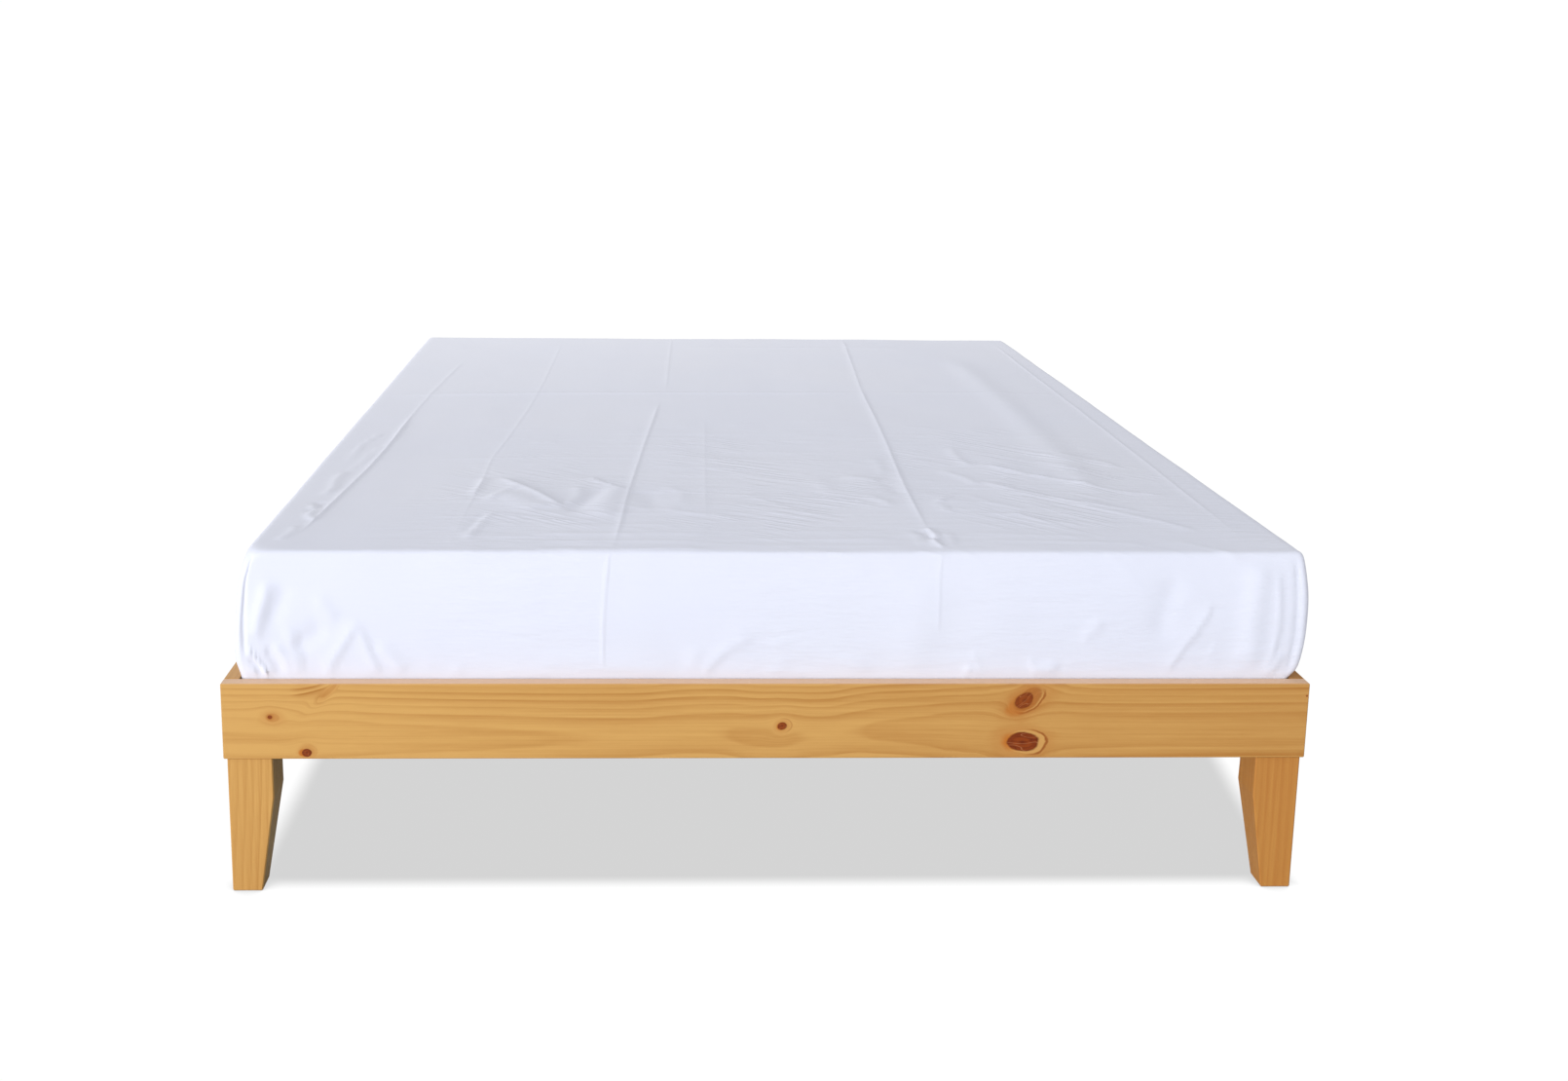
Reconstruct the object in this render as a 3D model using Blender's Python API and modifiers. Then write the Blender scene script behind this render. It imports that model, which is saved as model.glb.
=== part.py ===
"""Double bed base in pine, with the mattress that lies in it and the sheet tucked round that mattress.

Units are metres and +Z is up. The origin is on the floor, under the middle of the bed.
The foot end faces -Y. Left and right are as seen by someone who stands at the foot.
"""

import math

import bmesh
import bpy
from mathutils import Vector

# Mattress
MATTRESS_WIDTH = 1.400
MATTRESS_LENGTH = 1.900
MATTRESS_THICKNESS = 0.200
MATTRESS_EDGE = 0.020
MATTRESS_CROWN = 0.006
MATTRESS_BULGE = 0.017
MATTRESS_BULGE_AT_TOP = 0.004
MATTRESS_CORNER_DRAW = 0.001
MATTRESS_BASE_DRAW = 0.002
MATTRESS_MIDDLE_SHARE = 0.34
BULGE_HEIGHT_SHARES = (0.36, 0.62)
EDGE_CREASE_SHARE = 0.45

# Sheet
SHEET_THICKNESS = 0.001
SHEET_TUCK = 0.150

# Rails, and the play that the sheeted mattress has between them
MATTRESS_PLAY = 0.0037
RAIL_THICKNESS = 0.020
RAIL_HEIGHT = 0.105
RAIL_ARRIS = 0.0012

# Corner legs, tapered on their two inner faces
LEG_HEIGHT = 0.190
LEG_TOP = 0.060
LEG_FOOT = 0.040
LEG_STRAIGHT = 0.056
LEG_INSET = 0.004
LEG_ARRIS = 0.0015

# Corner blocks, with the well that the nut sits in
BLOCK_SIZE = 0.060
BLOCK_CHAMFER = 0.022
BLOCK_WELL_RADIUS = 0.0125
BLOCK_WELL_DEPTH = 0.014

# Hanger bolts, washers and nuts
BOLT_RADIUS = 0.004
BOLT_BITE = 0.045
BOLT_POINT = 0.008
BOLT_CHAMFER = 0.0008
BOLT_STICK_OUT = 0.002
BOLT_HOLE_PLAY = 0.001
WASHER_RADIUS = 0.0105
WASHER_THICKNESS = 0.0016
NUT_ACROSS_FLATS = 0.013
NUT_HEIGHT = 0.0065

# Dowels that pin the side rails to the end rails
DOWEL_RADIUS = 0.004
DOWEL_LENGTH = 0.036
DOWEL_DEPTH_IN_END_RAIL = 0.012
DOWEL_CHAMFER = 0.001
DOWEL_END_PLAY = 0.001
DOWEL_HEIGHT_SHARES = {"lower": 0.26, "upper": 0.74}

# Slats and the cleats that carry them
SLAT_COUNT = 13
SLAT_WIDTH = 0.070
SLAT_THICKNESS = 0.018
SLAT_SINK = 0.028
SLAT_END_PLAY = 0.002
SLAT_ARRIS = 0.0015
CLEAT_WIDTH = 0.030
CLEAT_HEIGHT = 0.030
CLEAT_ARRIS = 0.001

# Centre beam, its steel hangers and the centre leg
BEAM_WIDTH = 0.040
BEAM_HEIGHT = 0.055
BEAM_END_PLAY = 0.003
HANGER_STEEL = 0.002
HANGER_SEAT = 0.030
HANGER_HEIGHT = 0.040
HANGER_EAR = 0.022
HANGER_PLAY = 0.0006
HANGER_SCREW_RADIUS = 0.00225
HANGER_SCREW_HEIGHT_SHARES = (0.25, 0.75)
CENTRE_LEG_WIDTH = 0.045
CENTRE_LEG_ARRIS = 0.002
CENTRE_BOLT_BITE = 0.038

# The gap that touching pieces keep, how far a cutter runs past what it cuts, the sides of a round piece,
# the least angle that gets an arris, and the distance below which points merge
SEAT_GAP = 0.0003
CUT_OVERRUN = 0.002
ROUND_SIDES = 16
ARRIS_ANGLE = math.radians(35)
MERGE_DISTANCE = 0.00005

# Plan of the frame
SHEET_STACK = SHEET_THICKNESS + SEAT_GAP
INNER_WIDTH = MATTRESS_WIDTH + 2 * (SHEET_STACK + MATTRESS_PLAY)
INNER_LENGTH = MATTRESS_LENGTH + 2 * (SHEET_STACK + MATTRESS_PLAY)
OUTER_WIDTH = INNER_WIDTH + 2 * RAIL_THICKNESS
OUTER_LENGTH = INNER_LENGTH + 2 * RAIL_THICKNESS

# Heights, from the floor up
RAIL_BOTTOM = LEG_HEIGHT + SEAT_GAP
RAIL_TOP = RAIL_BOTTOM + RAIL_HEIGHT
SLAT_TOP = RAIL_TOP - SLAT_SINK
SLAT_BOTTOM = SLAT_TOP - SLAT_THICKNESS
CARRIER_TOP = SLAT_BOTTOM - SEAT_GAP
BEAM_BOTTOM = CARRIER_TOP - BEAM_HEIGHT
MATTRESS_BOTTOM = SLAT_TOP + SEAT_GAP + SHEET_STACK

ENDS = {"foot": -1, "head": 1}
SIDES = {"left": -1, "right": 1}
CORNERS = [(f"{end}_{side}", SIDES[side], ENDS[end]) for end in ENDS for side in SIDES]

parts = bpy.data.collections.new("double_bed_base")
cutters = bpy.data.collections.new("cutters")


def clear_scene():
    for old in list(bpy.data.objects):
        bpy.data.objects.remove(old)
    for collection in (parts, cutters):
        bpy.context.scene.collection.children.link(collection)


def make_material(name, colour, roughness, metallic=0.0):
    material = bpy.data.materials.new(name)
    material.use_nodes = True
    shader = material.node_tree.nodes["Principled BSDF"]
    shader.inputs["Base Color"].default_value = (*colour, 1.0)
    shader.inputs["Roughness"].default_value = roughness
    shader.inputs["Metallic"].default_value = metallic
    return material


PINE_RAIL = make_material("pine_rail", (0.66, 0.37, 0.13), 0.42)
PINE_LEG = make_material("pine_leg", (0.63, 0.34, 0.11), 0.42)
PINE_RAW = make_material("pine_raw", (0.70, 0.48, 0.25), 0.65)
BEECH = make_material("beech", (0.60, 0.42, 0.26), 0.60)
STEEL = make_material("zinc_steel", (0.62, 0.63, 0.64), 0.35, 1.0)
TICKING = make_material("ticking", (0.80, 0.80, 0.78), 0.85)
COTTON = make_material("cotton", (0.86, 0.87, 0.93), 0.80)


def add_object(name, bm, place, material=None):
    """Turns a bmesh into an object at its place. With no material it is a cutter."""
    mesh = bpy.data.meshes.new(name)
    bm.to_mesh(mesh)
    bm.free()
    made = bpy.data.objects.new(name, mesh)
    made.location = place
    if material:
        mesh.materials.append(material)
        parts.objects.link(made)
    else:
        made.hide_render = True
        made.display_type = "WIRE"
        cutters.objects.link(made)
    return made


def box_mesh(size):
    bm = bmesh.new()
    bmesh.ops.create_cube(bm, size=1)
    bmesh.ops.scale(bm, vec=Vector(size), verts=bm.verts)
    return bm


def round_mesh(radius, length, sides=ROUND_SIDES):
    """A cylinder along Z, or a prism where it has few sides."""
    bm = bmesh.new()
    bmesh.ops.create_cone(bm, cap_ends=True, segments=sides, radius1=radius, radius2=radius, depth=length)
    return bm


def saw(bm, point, outward):
    """Cuts off what lies outside a plane, and closes the sawn face."""
    everything = bm.verts[:] + bm.edges[:] + bm.faces[:]
    bmesh.ops.bisect_plane(bm, geom=everything, plane_co=point, plane_no=outward, clear_outer=True)
    bmesh.ops.holes_fill(bm, edges=[edge for edge in bm.edges if edge.is_boundary])


def add_arris(made, width):
    """Breaks the sharp edges, as a light pass with a plane does."""
    bevel = made.modifiers.new("arris", "BEVEL")
    bevel.width = width
    bevel.segments = 1
    bevel.limit_method = "ANGLE"
    bevel.angle_limit = ARRIS_ANGLE


def combine(made, other, operation="DIFFERENCE"):
    boolean = made.modifiers.new(other.name, "BOOLEAN")
    boolean.operation = operation
    boolean.object = other


def board(name, size, centre, material, arris):
    made = add_object(name, box_mesh(size), centre, material)
    add_arris(made, arris)
    return made


def drill(made, name, radius, centre, length, turn=(0, 0, 0)):
    """A round hole. The drill lies along Z until it is turned."""
    cutter = add_object(name, round_mesh(radius, length), centre)
    cutter.rotation_euler = turn
    combine(made, cutter)


def turned(name, profile, place, material, closed=False):
    """A piece turned about Z from (radius, height) points that run down its outer side."""
    bm = bmesh.new()
    points = [bm.verts.new((radius, 0, height)) for radius, height in profile]
    pairs = list(zip(points, points[1:]))
    if closed:
        pairs.append((points[-1], points[0]))
    for pair in pairs:
        bm.edges.new(pair)
    made = add_object(name, bm, place, material)
    screw = made.modifiers.new("turn", "SCREW")
    screw.steps = ROUND_SIDES
    screw.render_steps = ROUND_SIDES
    screw.use_merge_vertices = True
    screw.merge_threshold = MERGE_DISTANCE
    screw.use_smooth_shade = True
    made.modifiers.new("shading", "WEIGHTED_NORMAL")
    return made


# Rails and the dowels between them

ALONG_Y = (math.radians(90), 0, 0)
SIDE_RAIL_LENGTH = INNER_LENGTH - 2 * SEAT_GAP
DOWEL_X = INNER_WIDTH / 2 + RAIL_THICKNESS / 2
DOWEL_HEIGHTS = {level: RAIL_BOTTOM + RAIL_HEIGHT * share for level, share in DOWEL_HEIGHT_SHARES.items()}


def make_rails():
    """The end rails run the full width, and the side rails butt against their backs."""
    middle = (RAIL_BOTTOM + RAIL_TOP) / 2
    rails = {}
    for end, y_way in ENDS.items():
        size = (OUTER_WIDTH, RAIL_THICKNESS, RAIL_HEIGHT)
        centre = (0, y_way * (INNER_LENGTH + RAIL_THICKNESS) / 2, middle)
        rails[end] = board(f"{end}_rail", size, centre, PINE_RAIL, RAIL_ARRIS)
    for side, x_way in SIDES.items():
        size = (RAIL_THICKNESS, SIDE_RAIL_LENGTH, RAIL_HEIGHT)
        centre = (x_way * (INNER_WIDTH + RAIL_THICKNESS) / 2, 0, middle)
        rails[side] = board(f"side_rail_{side}", size, centre, PINE_RAIL, RAIL_ARRIS)
    return rails


def make_dowels(rails):
    """Each joint holds two dowels, in blind holes that are a little longer than they are."""
    hole_radius = DOWEL_RADIUS + SEAT_GAP
    hole_length = DOWEL_LENGTH + 2 * DOWEL_END_PLAY
    joint_y = INNER_LENGTH / 2
    dowel_y = joint_y + DOWEL_DEPTH_IN_END_RAIL - DOWEL_LENGTH / 2
    half, tip = DOWEL_LENGTH / 2, DOWEL_RADIUS - DOWEL_CHAMFER
    profile = [
        (0, half),
        (tip, half),
        (DOWEL_RADIUS, half - DOWEL_CHAMFER),
        (DOWEL_RADIUS, DOWEL_CHAMFER - half),
        (tip, -half),
        (0, -half),
    ]
    for corner, x_way, y_way in CORNERS:
        end, side = corner.split("_")
        for level, height in DOWEL_HEIGHTS.items():
            place = (x_way * DOWEL_X, y_way * dowel_y, height)
            dowel = turned(f"dowel_{corner}_{level}", profile, place, BEECH)
            dowel.rotation_euler = ALONG_Y
            for rail in (rails[end], rails[side]):
                hole = f"dowel_hole_{corner}_{level}_{rail.name}"
                drill(rail, hole, hole_radius, place, hole_length, ALONG_Y)


# Corner legs, blocks, bolts, washers and nuts

LEG_REACH = LEG_INSET + LEG_TOP
BOLT_INSET = (RAIL_THICKNESS + LEG_REACH) / 2
WELL_FLOOR = CARRIER_TOP - BLOCK_WELL_DEPTH
WASHER_BOTTOM = WELL_FLOOR + SEAT_GAP
NUT_BOTTOM = WASHER_BOTTOM + WASHER_THICKNESS + SEAT_GAP
BOLT_TOP = NUT_BOTTOM + NUT_HEIGHT + BOLT_STICK_OUT
BOLT_HOLE_RADIUS = BOLT_RADIUS + SEAT_GAP


def make_leg(corner, x_way, y_way):
    """The leg's two inner faces are sawn to a taper, from below its straight head down to the small foot."""
    bm = box_mesh((LEG_TOP, LEG_TOP, LEG_HEIGHT))
    kink_height = LEG_HEIGHT / 2 - LEG_STRAIGHT
    taper_drop = LEG_HEIGHT - LEG_STRAIGHT
    taper_run = LEG_TOP - LEG_FOOT
    inner = LEG_TOP / 2
    saw(bm, (-x_way * inner, 0, kink_height), (-x_way * taper_drop, 0, -taper_run))
    saw(bm, (0, -y_way * inner, kink_height), (0, -y_way * taper_drop, -taper_run))
    centre_x = x_way * (OUTER_WIDTH / 2 - LEG_INSET - LEG_TOP / 2)
    centre_y = y_way * (OUTER_LENGTH / 2 - LEG_INSET - LEG_TOP / 2)
    leg = add_object(f"leg_{corner}", bm, (centre_x, centre_y, LEG_HEIGHT / 2), PINE_LEG)
    add_arris(leg, LEG_ARRIS)
    return leg


def make_block(corner, x_way, y_way):
    """A block fills the inside corner of the rails, above the leg, with its free upright edge cut off."""
    height = CARRIER_TOP - RAIL_BOTTOM
    bm = box_mesh((BLOCK_SIZE, BLOCK_SIZE, height))
    corner_point = BLOCK_SIZE / 2 - BLOCK_CHAMFER / 2
    saw(bm, (-x_way * corner_point, -y_way * corner_point, 0), (-x_way, -y_way, 0))
    reach = SEAT_GAP + BLOCK_SIZE / 2
    centre_x = x_way * (INNER_WIDTH / 2 - reach)
    centre_y = y_way * (INNER_LENGTH / 2 - reach)
    place = (centre_x, centre_y, RAIL_BOTTOM + height / 2)
    block = add_object(f"corner_block_{corner}", bm, place, PINE_RAW)
    add_arris(block, CLEAT_ARRIS)
    return block


def bolt_profile(bottom, top):
    return [
        (0, top),
        (BOLT_RADIUS - BOLT_CHAMFER, top),
        (BOLT_RADIUS, top - BOLT_CHAMFER),
        (BOLT_RADIUS, bottom + BOLT_POINT),
        (0, bottom),
    ]


def make_nut(name, place):
    bm = round_mesh(NUT_ACROSS_FLATS / 2 / math.cos(math.radians(30)), NUT_HEIGHT, sides=6)
    nut = add_object(name, bm, place, STEEL)
    drill(nut, f"{name}_hole", BOLT_HOLE_RADIUS, place, NUT_HEIGHT + 2 * CUT_OVERRUN)


def make_corner(corner, x_way, y_way):
    leg = make_leg(corner, x_way, y_way)
    block = make_block(corner, x_way, y_way)
    x = x_way * (OUTER_WIDTH / 2 - BOLT_INSET)
    y = y_way * (OUTER_LENGTH / 2 - BOLT_INSET)

    bolt_bottom = LEG_HEIGHT - BOLT_BITE
    turned(f"leg_bolt_{corner}", bolt_profile(bolt_bottom, BOLT_TOP), (x, y, 0), STEEL)
    hole_length = BOLT_BITE + BOLT_HOLE_PLAY + CUT_OVERRUN
    hole_centre = (x, y, LEG_HEIGHT + CUT_OVERRUN - hole_length / 2)
    drill(leg, f"leg_hole_{corner}", BOLT_HOLE_RADIUS, hole_centre, hole_length)

    block_height = CARRIER_TOP - RAIL_BOTTOM
    block_centre = (x, y, RAIL_BOTTOM + block_height / 2)
    drill(block, f"block_hole_{corner}", BOLT_HOLE_RADIUS, block_centre, block_height + 2 * CUT_OVERRUN)
    well_length = BLOCK_WELL_DEPTH + CUT_OVERRUN
    well_centre = (x, y, WELL_FLOOR + well_length / 2)
    drill(block, f"block_well_{corner}", BLOCK_WELL_RADIUS, well_centre, well_length)

    washer = [
        (BOLT_HOLE_RADIUS, WASHER_THICKNESS),
        (WASHER_RADIUS, WASHER_THICKNESS),
        (WASHER_RADIUS, 0),
        (BOLT_HOLE_RADIUS, 0),
    ]
    turned(f"leg_washer_{corner}", washer, (x, y, WASHER_BOTTOM), STEEL, closed=True)
    make_nut(f"leg_nut_{corner}", (x, y, NUT_BOTTOM + NUT_HEIGHT / 2))


# Cleats, slats, centre beam, hangers and centre leg


def make_cleats():
    """The cleats run along the side rails, between the corner blocks."""
    length = INNER_LENGTH - 2 * (BLOCK_SIZE + 2 * SEAT_GAP)
    for side, x_way in SIDES.items():
        centre_x = x_way * (INNER_WIDTH / 2 - SEAT_GAP - CLEAT_WIDTH / 2)
        centre = (centre_x, 0, CARRIER_TOP - CLEAT_HEIGHT / 2)
        size = (CLEAT_WIDTH, length, CLEAT_HEIGHT)
        board(f"side_cleat_{side}", size, centre, PINE_RAW, CLEAT_ARRIS)


def make_slats():
    """The slats stand one even gap apart, and that same gap from the end rails."""
    size = (INNER_WIDTH - 2 * SLAT_END_PLAY, SLAT_WIDTH, SLAT_THICKNESS)
    gap = (INNER_LENGTH - SLAT_COUNT * SLAT_WIDTH) / (SLAT_COUNT + 1)
    first_y = -INNER_LENGTH / 2 + gap + SLAT_WIDTH / 2
    for index in range(SLAT_COUNT):
        centre = (0, first_y + index * (SLAT_WIDTH + gap), SLAT_BOTTOM + SLAT_THICKNESS / 2)
        board(f"slat_{index + 1:02d}", size, centre, PINE_RAW, SLAT_ARRIS)


def make_hanger(end, y_way):
    """A steel stirrup: a back plate with ears for screws, and a seat that the beam drops into from above."""
    slot_width = BEAM_WIDTH + 2 * HANGER_PLAY
    seat_width = slot_width + 2 * HANGER_STEEL
    floor_top = BEAM_BOTTOM - SEAT_GAP
    bottom = floor_top - HANGER_STEEL
    middle = bottom + HANGER_HEIGHT / 2
    back_y = INNER_LENGTH / 2 - SEAT_GAP

    plate_size = (seat_width + 2 * HANGER_EAR, HANGER_STEEL, HANGER_HEIGHT)
    plate_place = (0, y_way * (back_y - HANGER_STEEL / 2), middle)
    hanger = add_object(f"beam_hanger_{end}", box_mesh(plate_size), plate_place, STEEL)

    seat_length = HANGER_SEAT - HANGER_STEEL / 2
    seat_size = (seat_width, seat_length, HANGER_HEIGHT - 2 * SEAT_GAP)
    seat_place = (0, y_way * (back_y - HANGER_SEAT + seat_length / 2), middle)
    combine(hanger, add_object(f"hanger_seat_{end}", box_mesh(seat_size), seat_place), "UNION")

    slot_height = HANGER_HEIGHT - HANGER_STEEL + CUT_OVERRUN
    slot_size = (slot_width, HANGER_SEAT + 2 * CUT_OVERRUN, slot_height)
    slot_place = (0, y_way * (back_y - HANGER_SEAT / 2), floor_top + slot_height / 2)
    combine(hanger, add_object(f"hanger_slot_{end}", box_mesh(slot_size), slot_place))

    for side, x_way in SIDES.items():
        x = x_way * (seat_width / 2 + HANGER_EAR / 2)
        for number, share in enumerate(HANGER_SCREW_HEIGHT_SHARES):
            place = (x, plate_place[1], bottom + HANGER_HEIGHT * share)
            name = f"hanger_hole_{end}_{side}_{number}"
            drill(hanger, name, HANGER_SCREW_RADIUS, place, HANGER_STEEL + 2 * CUT_OVERRUN, ALONG_Y)


def make_centre():
    """The beam under the middle of the slats, its two hangers, and the leg that props it half way."""
    beam_size = (BEAM_WIDTH, INNER_LENGTH - 2 * BEAM_END_PLAY, BEAM_HEIGHT)
    beam = board("centre_beam", beam_size, (0, 0, BEAM_BOTTOM + BEAM_HEIGHT / 2), PINE_RAW, CLEAT_ARRIS)
    for end, y_way in ENDS.items():
        make_hanger(end, y_way)

    leg_top = BEAM_BOTTOM - SEAT_GAP
    leg_size = (CENTRE_LEG_WIDTH, CENTRE_LEG_WIDTH, leg_top)
    leg = board("centre_leg", leg_size, (0, 0, leg_top / 2), PINE_LEG, CENTRE_LEG_ARRIS)

    bottom, top = leg_top - CENTRE_BOLT_BITE, BEAM_BOTTOM + CENTRE_BOLT_BITE
    turned("centre_leg_bolt", bolt_profile(bottom, top), (0, 0, 0), STEEL)
    hole_length = top - bottom + 2 * BOLT_HOLE_PLAY
    for made in (leg, beam):
        name = f"centre_bolt_hole_{made.name}"
        drill(made, name, BOLT_HOLE_RADIUS, (0, 0, (bottom + top) / 2), hole_length)


# Mattress and sheet, from one cage

CAGE_CELLS = 5


def stations(size):
    """Where the cage's loops lie along a side: at the ends, one edge width in, and at two places between."""
    half = size / 2
    inner = half * MATTRESS_MIDDLE_SHARE
    return (-half, MATTRESS_EDGE - half, -inner, inner, half - MATTRESS_EDGE, half)


def side_profile():
    """How high each loop of the cage lies, and how far it stands out from the mattress's nominal side.

    The second loop lies at the top of the rails. It is set in by a quarter of what its two neighbours
    stand out, which brings the smoothed side to its nominal place there, between the rails.
    """
    low, high = (MATTRESS_THICKNESS * share for share in BULGE_HEIGHT_SHARES)
    waist = (MATTRESS_BASE_DRAW - MATTRESS_BULGE) / 4
    recess, below_top = RAIL_TOP - MATTRESS_BOTTOM, MATTRESS_THICKNESS - MATTRESS_EDGE
    heights = (0, recess, low, high, below_top, MATTRESS_THICKNESS)
    outs = (-MATTRESS_BASE_DRAW, waist, MATTRESS_BULGE, MATTRESS_BULGE, MATTRESS_BULGE_AT_TOP, 0)
    return heights, outs


def cage_mesh():
    """The mattress's cage: flat below, crowned above, with sides that swell and corners that draw in."""
    bm = bmesh.new()
    bmesh.ops.create_cube(bm, size=1)
    bmesh.ops.subdivide_edges(bm, edges=bm.edges[:], cuts=CAGE_CELLS - 1, use_grid_fill=True)
    across, along = stations(MATTRESS_WIDTH), stations(MATTRESS_LENGTH)
    up, outs = side_profile()
    middle = (2, 3)
    for vert in bm.verts:
        i, j, k = (round((value + 1 / 2) * CAGE_CELLS) for value in vert.co)
        on_x, on_y = i in (0, CAGE_CELLS), j in (0, CAGE_CELLS)
        out = outs[k] - (MATTRESS_CORNER_DRAW if on_x and on_y else 0)
        x = across[i] + (out * math.copysign(1, across[i]) if on_x else 0)
        y = along[j] + (out * math.copysign(1, along[j]) if on_y else 0)
        crown = MATTRESS_CROWN * ((i in middle) + (j in middle)) / 2
        inside = not on_x and not on_y and k == CAGE_CELLS
        vert.co = (x, y, up[k] + (crown if inside else 0))
    crease = bm.edges.layers.float.new("crease_edge")
    for edge in bm.edges:
        if len({face.normal.z > 1 / 2 for face in edge.link_faces}) > 1:
            edge[crease] = EDGE_CREASE_SHARE
    return bm


def add_smoothing(made):
    smooth = made.modifiers.new("smooth", "SUBSURF")
    smooth.levels = 1
    smooth.render_levels = 1
    made.data.shade_smooth()


def lies_below(face):
    """Whether a face of the cage is on the mattress's underside, clear of its edge."""
    centre = face.calc_center_median()
    inside = abs(centre.x) < MATTRESS_WIDTH / 2 - MATTRESS_EDGE
    return inside and abs(centre.y) < MATTRESS_LENGTH / 2 - MATTRESS_EDGE and centre.z < MATTRESS_EDGE / 2


def make_mattress_and_sheet():
    """The sheet follows the mattress one gap away, goes under it all round and ends in a tucked flap."""
    place = (0, 0, MATTRESS_BOTTOM)
    mattress = add_object("mattress", cage_mesh(), place, TICKING)
    add_smoothing(mattress)

    bm = cage_mesh()
    bmesh.ops.delete(bm, geom=[face for face in bm.faces if lies_below(face)], context="FACES")
    rim = [edge for edge in bm.edges if edge.is_boundary]
    flap = bmesh.ops.extrude_edge_only(bm, edges=rim)["geom"]
    half_width, half_length = MATTRESS_WIDTH / 2 - SHEET_TUCK, MATTRESS_LENGTH / 2 - SHEET_TUCK
    for vert in (item for item in flap if isinstance(item, bmesh.types.BMVert)):
        vert.co.x = max(-half_width, min(half_width, vert.co.x))
        vert.co.y = max(-half_length, min(half_length, vert.co.y))
    bmesh.ops.recalc_face_normals(bm, faces=bm.faces)
    sheet = add_object("bed_sheet", bm, place, COTTON)
    add_smoothing(sheet)
    cloth = sheet.modifiers.new("cloth", "SOLIDIFY")
    cloth.thickness = SHEET_THICKNESS
    cloth.offset = 1 + 2 * SEAT_GAP / SHEET_THICKNESS
    cloth.use_even_offset = True


def main():
    clear_scene()
    make_dowels(make_rails())
    for corner, x_way, y_way in CORNERS:
        make_corner(corner, x_way, y_way)
    make_cleats()
    make_slats()
    make_centre()
    make_mattress_and_sheet()


main()
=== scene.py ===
"""The looks of a knotty pine bed base that holds a mattress in a tucked white sheet."""

import math
import random
from collections import namedtuple

import bpy
import numpy as np
from mathutils import Matrix, Vector
from mathutils.noise import noise as point_noise


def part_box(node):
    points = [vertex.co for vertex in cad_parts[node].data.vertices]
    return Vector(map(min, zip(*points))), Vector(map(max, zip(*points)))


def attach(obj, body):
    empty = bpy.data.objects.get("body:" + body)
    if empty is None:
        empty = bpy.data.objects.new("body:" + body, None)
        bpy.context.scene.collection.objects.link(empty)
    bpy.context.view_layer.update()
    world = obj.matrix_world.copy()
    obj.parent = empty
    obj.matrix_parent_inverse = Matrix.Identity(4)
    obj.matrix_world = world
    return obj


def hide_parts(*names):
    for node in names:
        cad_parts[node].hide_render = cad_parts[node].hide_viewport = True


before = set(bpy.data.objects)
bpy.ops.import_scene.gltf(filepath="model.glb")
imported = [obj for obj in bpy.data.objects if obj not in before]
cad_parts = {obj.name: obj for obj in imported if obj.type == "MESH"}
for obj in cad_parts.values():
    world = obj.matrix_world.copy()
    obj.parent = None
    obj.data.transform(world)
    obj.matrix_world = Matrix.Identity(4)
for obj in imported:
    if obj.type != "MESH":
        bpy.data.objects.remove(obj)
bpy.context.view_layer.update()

MM = 0.001
MM_PER_METRE = 1000

# The camera, as fitted to the photograph

IMAGE_WIDTH_PX = 1610
IMAGE_HEIGHT_PX = 1110
FOCAL_LENGTH_PX = 1723.3
PRINCIPAL_POINT_PX = (715.4, 415.9)
SENSOR_WIDTH_MM = 36
CAMERA_PLACE = (-0.165, -3.090, 1.076)
CAMERA_YAW = math.radians(1.72)
CAMERA_PITCH = math.radians(10.82)
CAMERA_ROLL = math.radians(0.59)

# The studio

FLOOR_HALF_SIZE = 30.0
FLOOR_DROP = 0.3 * MM
FLOOR_ALBEDO = 0.66
SHADOW_GREY = 0.66
SHADOW_LEFT = 0.700
SHADOW_RIGHT = 0.724
SHADOW_SPREAD = 0.11
SHADOW_HALF_LENGTH = 0.950
SHADOW_SOFTNESS = 22 * MM
CONTACT_REACH = 60 * MM
CONTACT_SHARES = (0.25, 0.80)
SEEN_WHITE = 1.02
DOME_LIGHT = 0.68
DOME_IN_GLOSS = 0.15
FOOT_TARGET = (0.0, -0.6, 0.35)
HEAD_TARGET = (0.0, 0.9, 0.45)
Lamp = namedtuple("Lamp", "name azimuth elevation distance size power colour target")
LAMPS = (
    Lamp("key", -44, 6, 15.0, 5.0, 1590.0, (0.97, 0.98, 1.0), FOOT_TARGET),
    Lamp("back", 200, 38, 2.4, 2.0, 17.0, (1.0, 0.97, 0.88), HEAD_TARGET),
)

# Places in the frame

RAIL_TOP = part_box("foot_rail")[1].z
FOOT_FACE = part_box("foot_rail")[0].y


# Shader arithmetic


def math_node(operation):
    """A method that puts a value, and at times another, through one arithmetic node."""
    def answer(value, *others):
        return added(value.tree, "Math", dict(enumerate((value, *others))), operation=operation)
    return answer


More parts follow.
